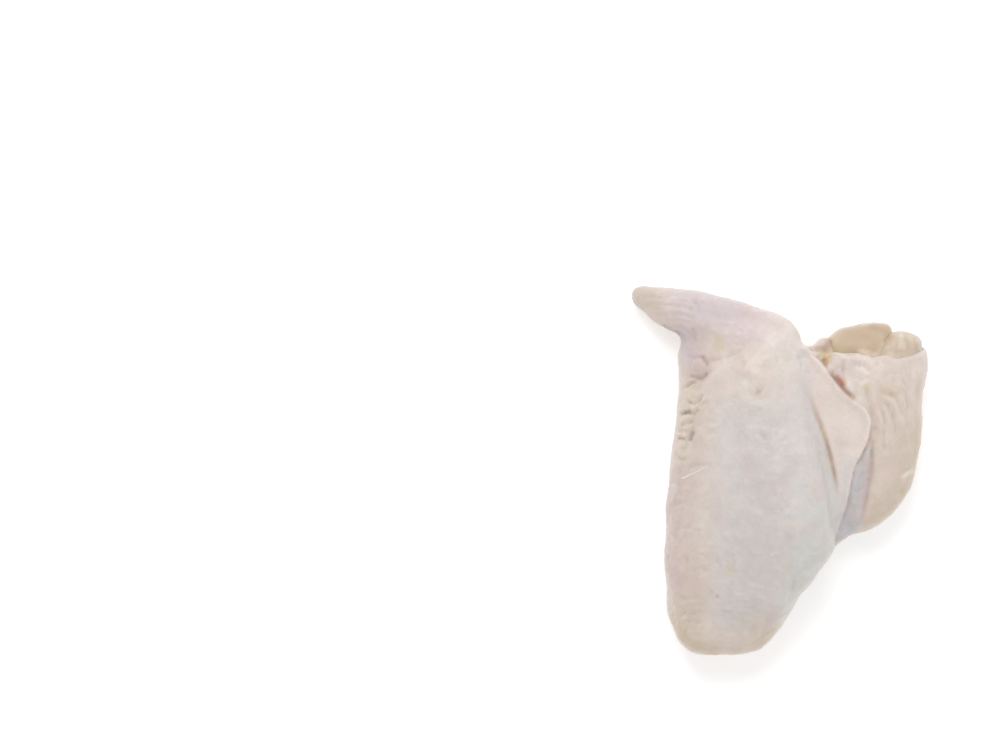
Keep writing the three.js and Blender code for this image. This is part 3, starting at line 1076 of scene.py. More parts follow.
BROAD_STROKES: tuple[Stroke, ...] = (
    Stroke(Tone.COOL, ((-5.0, 12.0), (-5.0, -6.0), (-7.0, -18.0)), 8.0, 0.85, 4.0),
    # partly painted shade: this and the other deep cool strokes darken the flat where it slopes away from
    # the light
    Stroke(Tone.DEEP_COOL_AND_SHADE, ((-7.0, -20.0), (-9.0, -34.0), (-10.0, -41.0)), 8.0, 0.8, 3.0),
    Stroke(Tone.BEIGE, ((-7.0, 30.0), (-6.0, 22.0)), 6.0, 0.6, 2.0),
    Stroke(Tone.DEEP_COOL_AND_SHADE, ((-5.0, 14.0), (-5.0, -6.0)), 5.5, 0.5, 3.0),
    Stroke(Tone.BROWN, ((-27.0, -24.0), (-25.5, -32.0), (-23.0, -38.0)), 3.5, 0.34, 0.8),
    # partly painted shade on the flat's right strip, which turns away from the light
    Stroke(Tone.GREY_GREEN_AND_SHADE, ((8.0, 4.0), (10.0, -6.0), (8.0, -16.0)), 4.5, 0.7, 1.5),
    Stroke(Tone.DEEP_COOL_AND_SHADE, ((6.0, -24.0), (8.0, -30.0)), 5.0, 0.8, 1.5),
    Stroke(Tone.PALE_AND_HIGHLIGHT, ((-4.5, 38.4), (-0.5, 35.6), (2.6, 30.0)), 4.0, 0.62, 1.0),
    Stroke(Tone.WARM, ((-24.0, 24.0), (-26.0, 6.0), (-27.0, -18.0), (-24.0, -33.0)), 5.0, 0.8, 2.0),
    Stroke(Tone.ROSY, ((-28.6, -2.0), (-29.4, -18.0), (-28.4, -28.0)), 3.0, 0.5, 0.5),
    Stroke(Tone.GOLDEN, ((-27.0, -40.0), (-22.0, -46.0), (-12.0, -48.8), (-3.0, -45.6)), 4.4, 0.85, 1.4),
    # painted shade along the elbow's rim, where the skin curves down
    Stroke(
        Tone.OCHRE_AND_SHADE,
        ((-28.6, -40.4), (-24.4, -46.0), (-17.0, -48.9), (-8.0, -48.4), (-1.6, -44.2)), 1.4, 0.5, 0.2,
    ),
    Stroke(Tone.CREAM, ((-18.0, -44.2), (-14.0, -46.0), (-9.0, -46.0)), 2.6, 0.4, 1.0),
    Stroke(Tone.LILAC, ((-30.0, 44.8), (-20.0, 43.2), (-8.0, 40.4)), 4.4, 0.9, 2.6),
    Stroke(Tone.ROSY, ((-25.6, 35.4), (-23.0, 33.0), (-22.0, 30.4)), 4.2, 0.75, 1.0),
    Stroke(Tone.ROSY, ((-20.0, 44.8), (-16.0, 43.4), (-8.0, 41.8)), 1.8, 0.35, 0.4),
    Stroke(Tone.ROSY, ((-9.0, 42.6), (-4.0, 41.0), (0.5, 39.4)), 1.2, 0.4, 0.2),
    Stroke(Tone.WARM, ((-40.0, 49.0), (-34.4, 46.6)), 3.8, 0.95, 1.2),
    Stroke(Tone.LILAC_GREY, ((-25.0, 44.8), (-18.8, 44.5), (-13.0, 42.8)), 3.0, 0.5, 1.0),
    Stroke(Tone.GOLDEN, ((-39.4, 48.0), (-36.0, 46.2)), 2.6, 0.55, 0.6),
    Stroke(Tone.GOLDEN, ((-34.0, 43.4), (-29.0, 40.6)), 1.6, 0.4, 0.4),
    Stroke(Tone.YELLOW_FAT, ((-16.5, 35.4), (-16.0, 33.0)), 1.5, 0.55, 0.2),
    Stroke(Tone.LILAC_GREY, ((-26.0, 36.2), (-25.2, 33.6), (-24.4, 30.6)), 1.8, 0.5, 0.6),
    Stroke(Tone.BEIGE, ((31.0, 24.0), (31.0, 8.0), (28.0, -6.0), (24.6, -13.0)), 5.0, 0.9, 5.0),
    Stroke(Tone.GOLDEN, ((36.4, 8.0), (33.6, -4.0), (28.0, -11.0)), 3.4, 0.75, 1.0),
    # painted shade along the drumette's right edge, away from the light
    Stroke(
        Tone.OCHRE_AND_SHADE, ((38.0, 24.0), (37.6, 8.0), (35.6, -2.0), (30.6, -10.0), (24.0, -14.8)), 1.2, 0.32, 0.2
    ),
    Stroke(Tone.ROSY, ((18.0, 29.0), (20.6, 27.0), (24.4, 27.6)), 2.6, 0.15, 0.6),
    # painted highlight on the lumps at the top of the drumette
    Stroke(Tone.PALE_AND_HIGHLIGHT, ((17.5, 28.6), (20.0, 26.5), (24.0, 26.0)), 2.4, 0.42, 0.6),
    Stroke(Tone.CREAM, ((27.0, 28.0), (31.7, 27.0), (35.0, 26.0)), 2.8, 0.65, 1.0),
    Stroke(Tone.YELLOW_FAT, ((-22.6, 22.6), (-24.7, 13.8), (-25.8, 9.6), (-26.4, 5.0)), 1.8, 0.24, 0.6),
)
FINE_STROKES: tuple[Stroke, ...] = (
    Stroke(Tone.CREAM, ((9.6, 33.4), (11.6, 34.8), (14.0, 36.2)), 1.3, 0.8, 0.3),
    # painted shade on the membrane's side next to the meat and in the crevice below it
    Stroke(Tone.DEEP_MEAT_AND_SHADE, ((14.9, 35.9), (13.9, 34.3), (12.8, 32.8)), 1.1, 0.75, 0.2),
    Stroke(Tone.DEEP_MEAT_AND_SHADE, ((10.4, 32.8), (12.0, 32.7)), 0.6, 0.5, 0.2),
    Stroke(Tone.AMBER, ((12.5, 29.2), (12.6, 28.4)), 0.5, 0.35, 0.2),
    # painted shadow under the loose fold's free edge
    Stroke(
        Tone.BROWN,
        ((13.3, 27.2), (14.8, 25.2), (16.7, 22.8), (18.8, 20.6), (21.0, 19.0)), 0.9, 0.8, 0.2, 0.15,
    ),
    Stroke(Tone.CREVICE_SHADE, ((13.6, 26.8), (15.4, 24.4), (17.7, 21.6), (19.8, 19.7)), 0.45, 0.6, 0.1, 0.2),
    Stroke(Tone.BLOOD, ((15.8, 25.2), (16.4, 24.3), (17.1, 23.2)), 0.55, 0.9, 0.2),
    Stroke(Tone.ORANGE_FAT, ((17.4, 24.6), (17.7, 23.8)), 0.4, 0.6, 0.2),
    Stroke(Tone.ROSY, ((16.2, 27.6), (16.6, 25.6)), 0.8, 0.5, 0.2),
    # painted shade in a crease on the drumette, then in the crease beside the flat
    Stroke(Tone.BROWN, ((17.4, 29.4), (17.3, 27.2)), 0.6, 0.35, 0.1),
    Stroke(
        Tone.BROWN,
        ((7.6, 22.6), (9.6, 16.6), (11.6, 11.3), (13.2, 6.1), (14.8, -0.2), (16.0, -7.6)),
        0.6, 0.75, 0.1, 0.3,
    ),
    Stroke(Tone.CREVICE_SHADE, ((11.9, 10.2), (13.3, 6.1), (14.8, -0.2), (15.8, -5.6)), 0.3, 0.4, 0.05, 0.3),
    # painted shade along the edge of the drumette's bulge
    Stroke(
        Tone.BROWN, ((25.0, 10.4), (25.1, 5.0), (24.9, 0.0), (23.7, -7.0), (22.4, -14.0)), 0.5, 0.7, 0.1, 0.2
    ),
    Stroke(Tone.YELLOW_FAT, ((23.8, 23.0), (23.8, 21.9)), 0.6, 0.7, 0.3),
    Stroke(Tone.ROSY, ((24.4, 5.0), (24.0, -1.0), (22.8, -7.0), (21.8, -14.0)), 0.9, 0.55, 0.4, 0.15),
    # painted shade in a crease of the drumette
    Stroke(Tone.OCHRE_AND_SHADE, ((28.4, 21.2), (31.4, 19.8)), 0.8, 0.35, 0.2),
    # mostly painted shade: under the tip and in the creases and pits of the wrist and elbow
    Stroke(Tone.CREVICE_SHADE, ((-30.6, 38.4), (-29.0, 37.2), (-27.2, 36.6)), 0.8, 0.7, 0.2),
    Stroke(Tone.BROWN, ((-5.2, 22.0), (-5.9, 20.6)), 1.3, 0.42, 0.2),
    Stroke(Tone.BROWN, ((-3.4, 8.9), (-2.8, 8.0)), 1.1, 0.2, 0.2),
    Stroke(Tone.CREVICE_SHADE, ((-23.1, 10.1), (-23.8, 8.4)), 0.5, 0.45, 0.1),
    Stroke(Tone.CREVICE_SHADE, ((-25.0, 15.5), (-24.0, 15.6)), 0.5, 0.5, 0.1),
    Stroke(Tone.CREVICE_SHADE, ((-20.0, 30.4), (-19.8, 29.6)), 0.5, 0.35, 0.1),
    Stroke(Tone.BROWN, ((-16.8, -33.9), (-16.6, -33.8)), 0.6, 0.25, 0.1),
    Stroke(Tone.BROWN, ((4.2, -26.5), (3.9, -31.0), (2.8, -38.0)), 0.6, 0.12, 0.1, 0.3),
    Stroke(Tone.YELLOW_FAT, ((-13.4, -25.6), (-13.2, -27.8)), 0.9, 0.35, 0.2),
    Stroke(Tone.OCHRE_AND_SHADE, ((33.2, -6.2), (33.6, -5.8)), 0.7, 0.6, 0.2),
    # painted highlight along the ridge on the drumette
    Stroke(Tone.PALE_AND_HIGHLIGHT, ((32.8, -2.6), (34.2, -1.4), (35.6, -0.4), (37.2, 0.4)), 0.6, 0.6, 0.1, 0.3),
    # painted shade at the upper end of the crease beside the flat
    Stroke(Tone.COOL, ((6.0, 31.4), (7.0, 27.0), (8.0, 22.0)), 1.2, 0.6, 0.5),
)
YELLOW_TRIANGLE: Route = ((9.9, 32.4), (15.1, 32.3), (14.2, 30.4), (13.0, 28.0), (11.5, 30.0))
ORANGE_TRIANGLE: Route = ((11.8, 30.8), (13.4, 30.9), (13.3, 29.6), (12.7, 28.2), (11.9, 29.4))
SHADED_WEB: Route = (
    (24.8, 8.0), (22.2, 3.4), (20.1, 0.0), (19.0, -5.0), (18.3, -9.0), (17.2, -13.0), (15.6, -19.4),
    (19.5, -17.4), (22.2, -16.0), (22.9, -10.0), (23.7, -6.0), (24.5, -2.0), (25.1, 8.0),
)
SKIN_PATCHES: tuple[Patch, ...] = (
    Patch(
        Tone.COOL,
        (
            (7.2, 24.0), (9.4, 16.6), (11.5, 11.3), (13.1, 6.1), (14.7, -0.2), (16.0, -7.6), (15.6, -12.0),
            (11.0, -18.0), (5.0, -14.0), (3.0, 0.0), (3.0, 12.0), (4.0, 22.0),
        ),
        0.9,
        0.7,
    ),
    # partly painted shade on the lower right of the flat, which turns away from the light
    Patch(
        Tone.GREY_GREEN_AND_SHADE,
        (
            (16.2, -8.0), (17.0, -14.0), (16.0, -21.0), (12.0, -29.0), (8.0, -35.0), (2.0, -40.0),
            (0.0, -34.0), (3.0, -26.0), (6.0, -16.0), (10.0, -8.0),
        ),
        2.2,
        0.9,
    ),
    Patch(
        Tone.CREAM,
        (
            (6.4, 32.8), (10.5, 30.0), (14.5, 24.7), (19.5, 19.3), (24.4, 15.0), (24.6, 11.5), (22.2, 4.6),
            (20.4, 1.2), (19.0, -6.0), (16.8, -14.0), (15.0, -19.4), (16.2, -12.0), (16.1, -7.6),
            (14.8, -0.2), (13.2, 6.1), (11.6, 11.3), (9.5, 16.6), (7.3, 24.0),
        ),
        0.45,
        0.9,
    ),
    Patch(
        Tone.COOL,
        (
            (18.4, 3.4), (20.6, 1.6), (20.0, -1.2), (19.0, -6.0), (16.8, -14.0), (15.0, -19.4),
            (16.2, -12.0), (16.4, -7.6), (16.2, -2.0), (16.8, 1.6),
        ),
        1.6,
        0.85,
    ),
    Patch(Tone.YELLOW_FAT, YELLOW_TRIANGLE, 0.4, 0.85),
    Patch(Tone.ORANGE_FAT, ORANGE_TRIANGLE, 0.5, 0.8),
    Patch(Tone.SHADED, SHADED_WEB, 0.5, 0.95),
)
DIAGONAL = Wrinkles((6.5, 2.2, 3.0), 36, 1, 0.2)
UPRIGHT = Wrinkles((2.4, 7.0, 3.0), -8, 2, 0.13)
LEVEL = Wrinkles((7.0, 2.0, 3.0), -4, 3, 0.17)
WAVY = Wrinkles((2.0, 7.5, 4.0), 8, 4, 0.2)
LENGTHWISE = Wrinkles((8.0, 1.9, 1.9), -12, 9, 0.16)
SKIN_MOTTLES: tuple[Mottle, ...] = (
    Mottle(Tone.ROSY, 0.25, 6, 21, (0.1, 0.55)),
    Mottle(Tone.YELLOW_FAT, 0.14, 4.5, 22, (0.2, 0.6)),
    Mottle(Tone.PALE_AND_HIGHLIGHT, 0.16, 3.2, 23, (0.1, 0.5)),
)
OUTLINE_NUDGES: tuple[Nudge, ...] = (
    Nudge((-23.0, -47.0), (-1.2, -1.9), 5.0),
    Nudge((-19.0, -48.6), (0.0, -0.6), 3.5),
    Nudge((6.4, -35.6), (-1.5, 0.8), 4.5),
    Nudge((11.5, -27.5), (-0.7, 0.45), 4.0),
    Nudge((-26.5, -45.0), (-0.4, -0.5), 3.0),
    Nudge((0.2, -42.4), (0.5, -0.3), 2.4),
    Nudge((34.7, -3.2), (1.4, -0.85), 7.0),
    Nudge((37.2, 5.0), (0.5, 0.0), 4.0),
    Nudge((30.8, -10.2), (0.4, -0.4), 4.0),
    Nudge((39.3, 28.0), (1.0, 0.0), 5.0),
    Nudge((39.3, 32.2), (0.3, 0.0), 2.2),
    Nudge((20.5, -17.6), (0.0, 0.85), 3.5),
)


@dataclass
class WingSkin:
    """The whole wing under its skin."""

    node: str = "wing_skin"
    slot: str = "skin"
    rough_voxel: float = 0.6
    rough_passes: int = 18
    rough_edge_share: float = 0.08
    fine_voxel: float = 0.44
    fine_passes: int = 3
    edge_share: float = 0.4
    side_detail: tuple[float, float] = (3, 14)
    face_limit: int = 97000
    cut_y: float = 32.1
    cut_lean: float = 0.16
    cut_top: float = 20.0
    cut_left: float = 9.0
    rim: Route = (
        (8.0, 32.6), (13.0, 31.6), (16.0, 32.2), (18.0, 32.2), (21.4, 31.9), (24.0, 31.3), (29.0, 31.2),
        (35.0, 31.6), (38.0, 32.0), (39.2, 32.5), (41.0, 33.3),
    )
    beside_flat: Route = (
        (7.2, 24.0), (9.4, 16.6), (11.5, 11.3), (13.1, 6.1), (14.7, -0.2), (16.0, -7.6), (16.4, -11.0)
    )
    edge_of_bulge: Route = (
        (24.9, 10.0), (24.9, 5.0), (24.7, 0.0), (24.0, -4.0), (23.3, -8.0), (22.6, -12.0), (22.0, -16.0)
    )
    web_fill: float = 0.8
    triangle_hollow: float = 0.1
    pocket_reach: float = 1.3
    cling_reach: float = 1.5
    loose_fold: LooseFold = field(default_factory=LooseFold)
    hem: Hem = field(default_factory=Hem)
    membrane: Membrane = field(default_factory=Membrane)
    follicles: Follicles = field(default_factory=Follicles)

    def build(self, meat: BVHTree, beside: tuple[BVHTree, ...]) -> bpy.types.Object:
        """Makes the skin and lays it over its node.

        Args:
            meat: The meat's surface.
            beside: The surfaces that the cut edge lies against.

        Returns:
            The finished piece.
        """
        piece = copy_of_node(self.node, "skin_surface")
        remesh(piece, self.rough_voxel)
        self.round_off(Surface(piece))
        under = tree_of(piece)
        for part in (self.loose_fold.build(under), self.hem.build(meat, under), self.membrane.build()):
            add_part(piece, part)
        remesh(piece, self.fine_voxel)
        surface = Surface(piece)
        surface.relax(self.fine_passes, self.away_from_cut(surface, self.edge_share))
        above = surface.seen_from_above()
        outside = self.outer_side(surface, meat)
        surface.push(above * self.folded(surface) + outside * self.wrinkled(surface))
        surface.relax(1, self.away_from_cut(surface, self.edge_share))
        self.shape_the_cut(surface, beside, outside)
        count = self.follicles.raise_on(surface, outside * self.feathered(surface, above))
        LOG.info("%d follicles on the skin", count)
        self.colour(surface, above, outside)
        surface.points[:, 2] = np.maximum(surface.points[:, 2], 0)
        surface.write()
        surface.write_tone()
        detailed = 0.55 * eased(surface.points[:, 2], *self.side_detail)
        plain = np.clip(1.0 - detailed - above, 0, 1) + (1 - outside)
        faces = len(piece.data.polygons)
        thin_out(piece, np.clip(plain, 0, 1), self.face_limit / faces)
        return piece

    def past_cut(self, points: np.ndarray) -> np.ndarray:
        """Measures points against the cut at the shoulder.

        Args:
            points: Places in millimetres, one row each.

        Returns:
            How far each lies past the cut, and far before it where it isn't beside the drumette.
        """
        rim = np.array(self.rim)
        line = np.interp(points[:, 0], rim[:, 0], rim[:, 1])
        past = points[:, 1] - line - self.cut_lean * (self.cut_top - points[:, 2])
        return np.where(points[:, 0] > self.cut_left, past, FAR_BEFORE)

    def away_from_cut(self, surface: Surface, least: float) -> np.ndarray:
        """Gives 1 away from the cut at the shoulder and less beside it, so that its edge stays crisp."""
        near = np.abs(self.past_cut(surface.points))
        return least + (1 - least) * eased(near, 0.8, 2.6)

    def round_off(self, surface: Surface) -> None:
        """Smooths the facets away, least along the cut, and draws outline and cut to the wing's own.

        Args:
            surface: The skin, which is changed.
        """
        points = surface.points
        past = self.past_cut(points)
        straight = self.cut_y + self.cut_lean * (self.cut_top - points[:, 2])
        to_rim = np.where(points[:, 0] > self.cut_left, straight - points[:, 1] + past, 0)
        surface.relax(self.rough_passes, self.away_from_cut(surface, self.rough_edge_share))
        points[:, 1] -= (to_rim * eased(past, -5.0, -0.6) * eased(points[:, 2], 11, 16)).astype(np.float32)
        surface.nudge(OUTLINE_NUDGES)
        surface.write()

    def outer_side(self, surface: Surface, meat: BVHTree) -> np.ndarray:
        """Tells the wing's outside from the pocket that holds the meat.

        Args:
            surface: The skin.
            meat: The meat's surface, which the pocket's wall faces.

        Returns:
            1 outside and 0 in the pocket for each vertex.
        """
        outside = np.ones(len(surface.points))
        facing = surface.normals()
        for i, point in enumerate(surface.points):
            place, _, _, distance = meat.find_nearest(Vector(point * MM), self.pocket_reach * MM)
            if place is None:
                continue
            if (place / MM - Vector(point)).dot(Vector(facing[i])) > 0.3 * distance / MM:
                outside[i] = 0
        return surface.spread(outside, 2)

    def folded(self, surface: Surface) -> np.ndarray:
        """Works out the folds, creases and lumps that are seen from above.

        Args:
            surface: The skin.

        Returns:
            Their height at each vertex, in millimetres.
        """
        plan = surface.plan
        marks = (*TIP_FOLDS, *WRIST_FOLDS, *ELBOW_FOLDS, *DRUMETTE_FOLDS, *LUMPS)
        relief = sum(mark.relief(plan) for mark in marks)
        for line in (
            Fold(self.beside_flat, 0.6, 0.34, fade=(0.45, 0.3)),
            Fold(self.edge_of_bulge, 0.8, 0.35, fade=(0.1, 0.2)),
            Fold(self.loose_fold.free_edge, 0.8, 0.2, Profile.ROLLED_EDGE, (0.08, 0.1)),
        ):
            relief += line.relief(plan)
        relief -= self.triangle_hollow * soft_area(plan, ORANGE_TRIANGLE, 0.8)
        return relief + self.web_fill * soft_area(plan, SHADED_WEB, 1.2)

    def wrinkled(self, surface: Surface) -> np.ndarray:
        """Works out the skin's undulations, wrinkles and pebbling, each in its own regions of the wing.

        Args:
            surface: The skin.

        Returns:
            Their height at each vertex, in millimetres.
        """
        points = surface.points
        x, y = points[:, 0], points[:, 1]
        calm = 1 - 0.7 * self.on_loose_fold(surface.plan)
        # the regions of the wing, by their millimetres in plan
        drumette = eased(x, 22, 27) * eased(y, -18, -10)
        tip = eased(y, 33, 38) * eased(-x, 2, 10)
        finger = eased(y, 35, 40) * eased(-x, 15, 22)
        elbow = eased(-y, 26, 36)
        left = eased(-x, 12, 24)
        flat = (1 - tip) * (1 - drumette)
        swells = 0.26 * grain(points, 9, seed=5) + 0.13 * grain(points, 4, seed=8)
        pebbles = 0.1 * grain(points, 1.9, seed=6) + 0.05 * grain(points, 1.1, seed=7)
        return calm * (
            swells + pebbles
            - DIAGONAL.depth * flat * (0.35 + 0.65 * left) * DIAGONAL.lines(points)
            - UPRIGHT.depth * flat * (1 - left) * (1 - elbow) * UPRIGHT.lines(points)
            - LEVEL.depth * flat * (0.3 + 0.7 * elbow) * LEVEL.lines(points)
            - WAVY.depth * drumette * eased(y, 2, 12) * WAVY.lines(points)
            - LENGTHWISE.depth * finger * LENGTHWISE.lines(points)
        )

    def on_loose_fold(self, plan: np.ndarray) -> np.ndarray:
        """Marks the loose fold beside the flat.

        Args:
            plan: The points in plan, one row each.

        Returns:
            1 for each point on the fold and 0 elsewhere.
        """
        shares = np.linspace(0, 1, 60)
        free = along_route(self.loose_fold.free_edge, shares)
        root = along_route(self.loose_fold.root, shares)
        row = plan[:, 1]
        left = np.interp(row, root[::-1, 1], root[::-1, 0])
        right = np.interp(row, free[::-1, 1], free[::-1, 0])
        return eased(plan[:, 0], left, left + 3) * (plan[:, 0] < right) * (row < 33) * (row > -19)

    def feathered(self, surface: Surface, above: np.ndarray) -> np.ndarray:
        """Tells where the feathers stood.

        Args:
            surface: The skin.
            above: How far each vertex belongs to the upper side.

        Returns:
            1 where they stood closest, falling to 0 where there were none.
        """
        points = surface.points
        side = eased(points[:, 2], 1.5, 6.0)
        patches = 0.65 + 0.5 * grain(points, 11, seed=9)
        fold = self.on_loose_fold(surface.plan) * above
        clear = 1 - eased(self.past_cut(points), -3.5, -2.0)
        return np.clip((1 - fold) * clear * side * patches * (0.55 + 0.45 * above), 0, 1)

    def shape_the_cut(self, surface: Surface, beside: tuple[BVHTree, ...], outside: np.ndarray) -> None:
        """Makes the cut edge at the shoulder uneven, and lays it against the meat and the fat.

        Args:
            surface: The skin, which is changed.
            beside: The surfaces that it lies against.
            outside: 1 outside, where only the very edge is drawn down, and 0 in the pocket.
        """
        points = surface.points
        near = eased(self.past_cut(points), -2.0, -0.2)
        flat = points * [1, 0, 1]
        wave = 0.32 * grain(flat, 5.5, seed=12) + 0.14 * grain(flat, 1.9, seed=13)
        points[:, 1] += (near * wave).astype(np.float32)
        past = self.past_cut(points)
        share = eased(past, -4.0, -2.0) * (1 - outside * (1 - eased(past, -1.2, -0.5)))
        for tree in beside:
            surface.cling(tree, share, self.cling_reach)

    def colour(self, surface: Surface, above: np.ndarray, outside: np.ndarray) -> None:
        """Paints the skin, with painted shade in creases, hollows and turned-away sides, and painted
        highlights on ridges.

        Args:
            surface: The skin.
            above: How far each vertex belongs to the upper side.
            outside: 1 outside and 0 in the pocket.
        """
        points = surface.points
        plan = surface.plan
        surface.paint(Tone.BEIGE, 0.6 * (1 - above))
        # painted shade: the elbow's sides, which face away from above, take the grey-green
        elbow_side = eased(plan[:, 0], -4, 6) * eased(-plan[:, 1], 4, 14)
        surface.paint(Tone.GREY_GREEN_AND_SHADE, 0.7 * (1 - above) * elbow_side)
        for mark in (*BROAD_STROKES, *SKIN_PATCHES, *FINE_STROKES):
            surface.paint(mark.tone, mark.share(plan) * above)
        for mottle in SKIN_MOTTLES:
            surface.paint(mottle.tone, mottle.share(points))
        # painted shade in hollows and painted highlights on ridges, by how deep each vertex lies
        depth = surface.hollows(6)
        surface.paint(Tone.CREVICE_SHADE, 0.42 * eased(depth, 0.02, 0.24) * outside)
        surface.paint(Tone.PALE_AND_HIGHLIGHT, 0.3 * eased(-depth, 0.03, 0.2) * outside)
        past = self.past_cut(points)
        edge = eased(past, -1.6, -0.3) * eased(plan[:, 0], 14.5, 17)
        surface.paint(Tone.CUT_EDGE, 0.75 * edge * (1 - 0.6 * bell(plan[:, 0], 27, 3)))
        surface.paint(Tone.BEIGE, 0.7 * bell(plan[:, 0], 27, 2.6) * bell(past, -0.6, 1.4))
        surface.paint(Tone.DEEP_MEAT_AND_SHADE, (1 - outside) * eased(past, -9, -1.5))


@dataclass
class ShoulderMeat:
    """The meat of the drumette, which swells out of the cut."""

    node: str = "shoulder_meat"
    slot: str = "meat"
    voxel: float = 0.5
    passes: int = 14
    strand_depth: float = 0.05
    wave_depth: float = 0.28
    cleft: Fold = Fold(((30.2, 38.4), (27.4, 35.6), (25.0, 32.8), (24.6, 31.0)), 1.8, 0.08)
    fill: float = 0.16
    nudges: tuple[Nudge, ...] = (
        Nudge((23.0, 38.8), (0.0, 0.35), 3.0),
        Nudge((14.8, 33.4), (-1.5, 0.2), 2.8),
        Nudge((17.4, 37.2), (-0.5, 0.4), 2.5),
    )
    block_place: Point = (24.0, 29.0, 9.0)
    block_size: Point = (7.8, 10.5, 14.3)
    block_narrows: float = 1.3
    block_falls: tuple[float, float] = (1.4, 5.2)
    block_edge: float = 1.5
    fatty: Mottle = Mottle(Tone.FAT, 0.3, 5, 33, (0.15, 0.6))
    fat_border: Route = ((24.6, 29.6), (25.4, 31.6), (27.6, 34.2), (29.4, 36.0), (30.8, 37.6))

    def build(self) -> bpy.types.Object:
        """Makes the meat and lays it over its node.

        Returns:
            The finished piece.
        """
        piece = copy_of_node(self.node, "meat_surface")
        add_part(piece, self.swelling())
        remesh(piece, self.voxel)
        surface = Surface(piece)
        surface.relax(self.passes)
        surface.nudge(self.nudges)
        points = surface.points
        strands = grain(points, (1.4, 8.0, 1.8), seed=31, turn=-30)
        waves = grain(points, 6, seed=32)
        relief = self.fill + self.strand_depth * strands + self.wave_depth * waves
        surface.push(relief + self.cleft.relief(surface.plan))
        self.colour(surface)
        surface.write()
        surface.write_tone()
        return piece

    def swelling(self) -> bmesh.types.BMesh:
        """Makes the part of the meat that swells out under the fat.

        Returns:
            A closed block with round edges, lower and narrower towards its far end.
        """
        shape = bmesh.new()
        bmesh.ops.create_cube(shape, size=1)
        for vert in shape.verts:
            x, y, z = (value + 0.5 for value in vert.co)
            width = self.block_size[0] - self.block_narrows * y
            height = self.block_size[2] - self.block_falls[1] * y - self.block_falls[0] * x
            left, near, low = self.block_place
            vert.co = Vector((left + width * x, near + self.block_size[1] * y, low + height * z)) * MM
        bmesh.ops.bevel(
            shape, geom=shape.edges, offset=self.block_edge * MM, segments=4, profile=0.5, affect="EDGES",
            material=-1,
        )
        return shape

    def colour(self, surface: Surface) -> None:
        """Paints the meat, with painted shade along the skin, on the left and low down, a painted highlight
        at its upper left, and as fat past its border.

        Args:
            surface: The meat.
        """
        points = surface.points
        surface.tone[:] = Tone.MEAT.linear()
        # painted shade along the skin's edge, on the meat's left and low down
        surface.paint(Tone.DEEP_MEAT_AND_SHADE, 0.4 * bell(points[:, 1], 31.4, 1.2) * eased(points[:, 0], 17, 21))
        surface.paint(Tone.DEEP_MEAT_AND_SHADE, 0.7 * eased(-points[:, 0], -15.6, -13.4))
        surface.paint(Tone.DEEP_MEAT_AND_SHADE, 0.5 * eased(-points[:, 2], -15, -6))
        # painted highlight on the dome's upper left, in the fat's colour
        surface.paint(Tone.FAT, 0.35 * bell(points[:, 0], 19.5, 3.4) * bell(points[:, 1], 34.6, 1.8))
        surface.paint(self.fatty.tone, self.fatty.share(points))
        on_left = eased(-points[:, 0], -19.5, -15.5)
        surface.paint(Tone.YELLOW_FAT, 0.4 * on_left * eased(points[:, 2], 10, 14))
        distance, side, _ = beside_route(surface.plan, self.fat_border)
        past = np.where(side < 0, distance, -distance)
        surface.paint(Tone.FAT, 0.2 * bell(past, -1.4, 2.0))
        surface.paint(Tone.FAT, 0.8 * eased(past, -0.6, 1.6) * eased(points[:, 2], 10, 14))


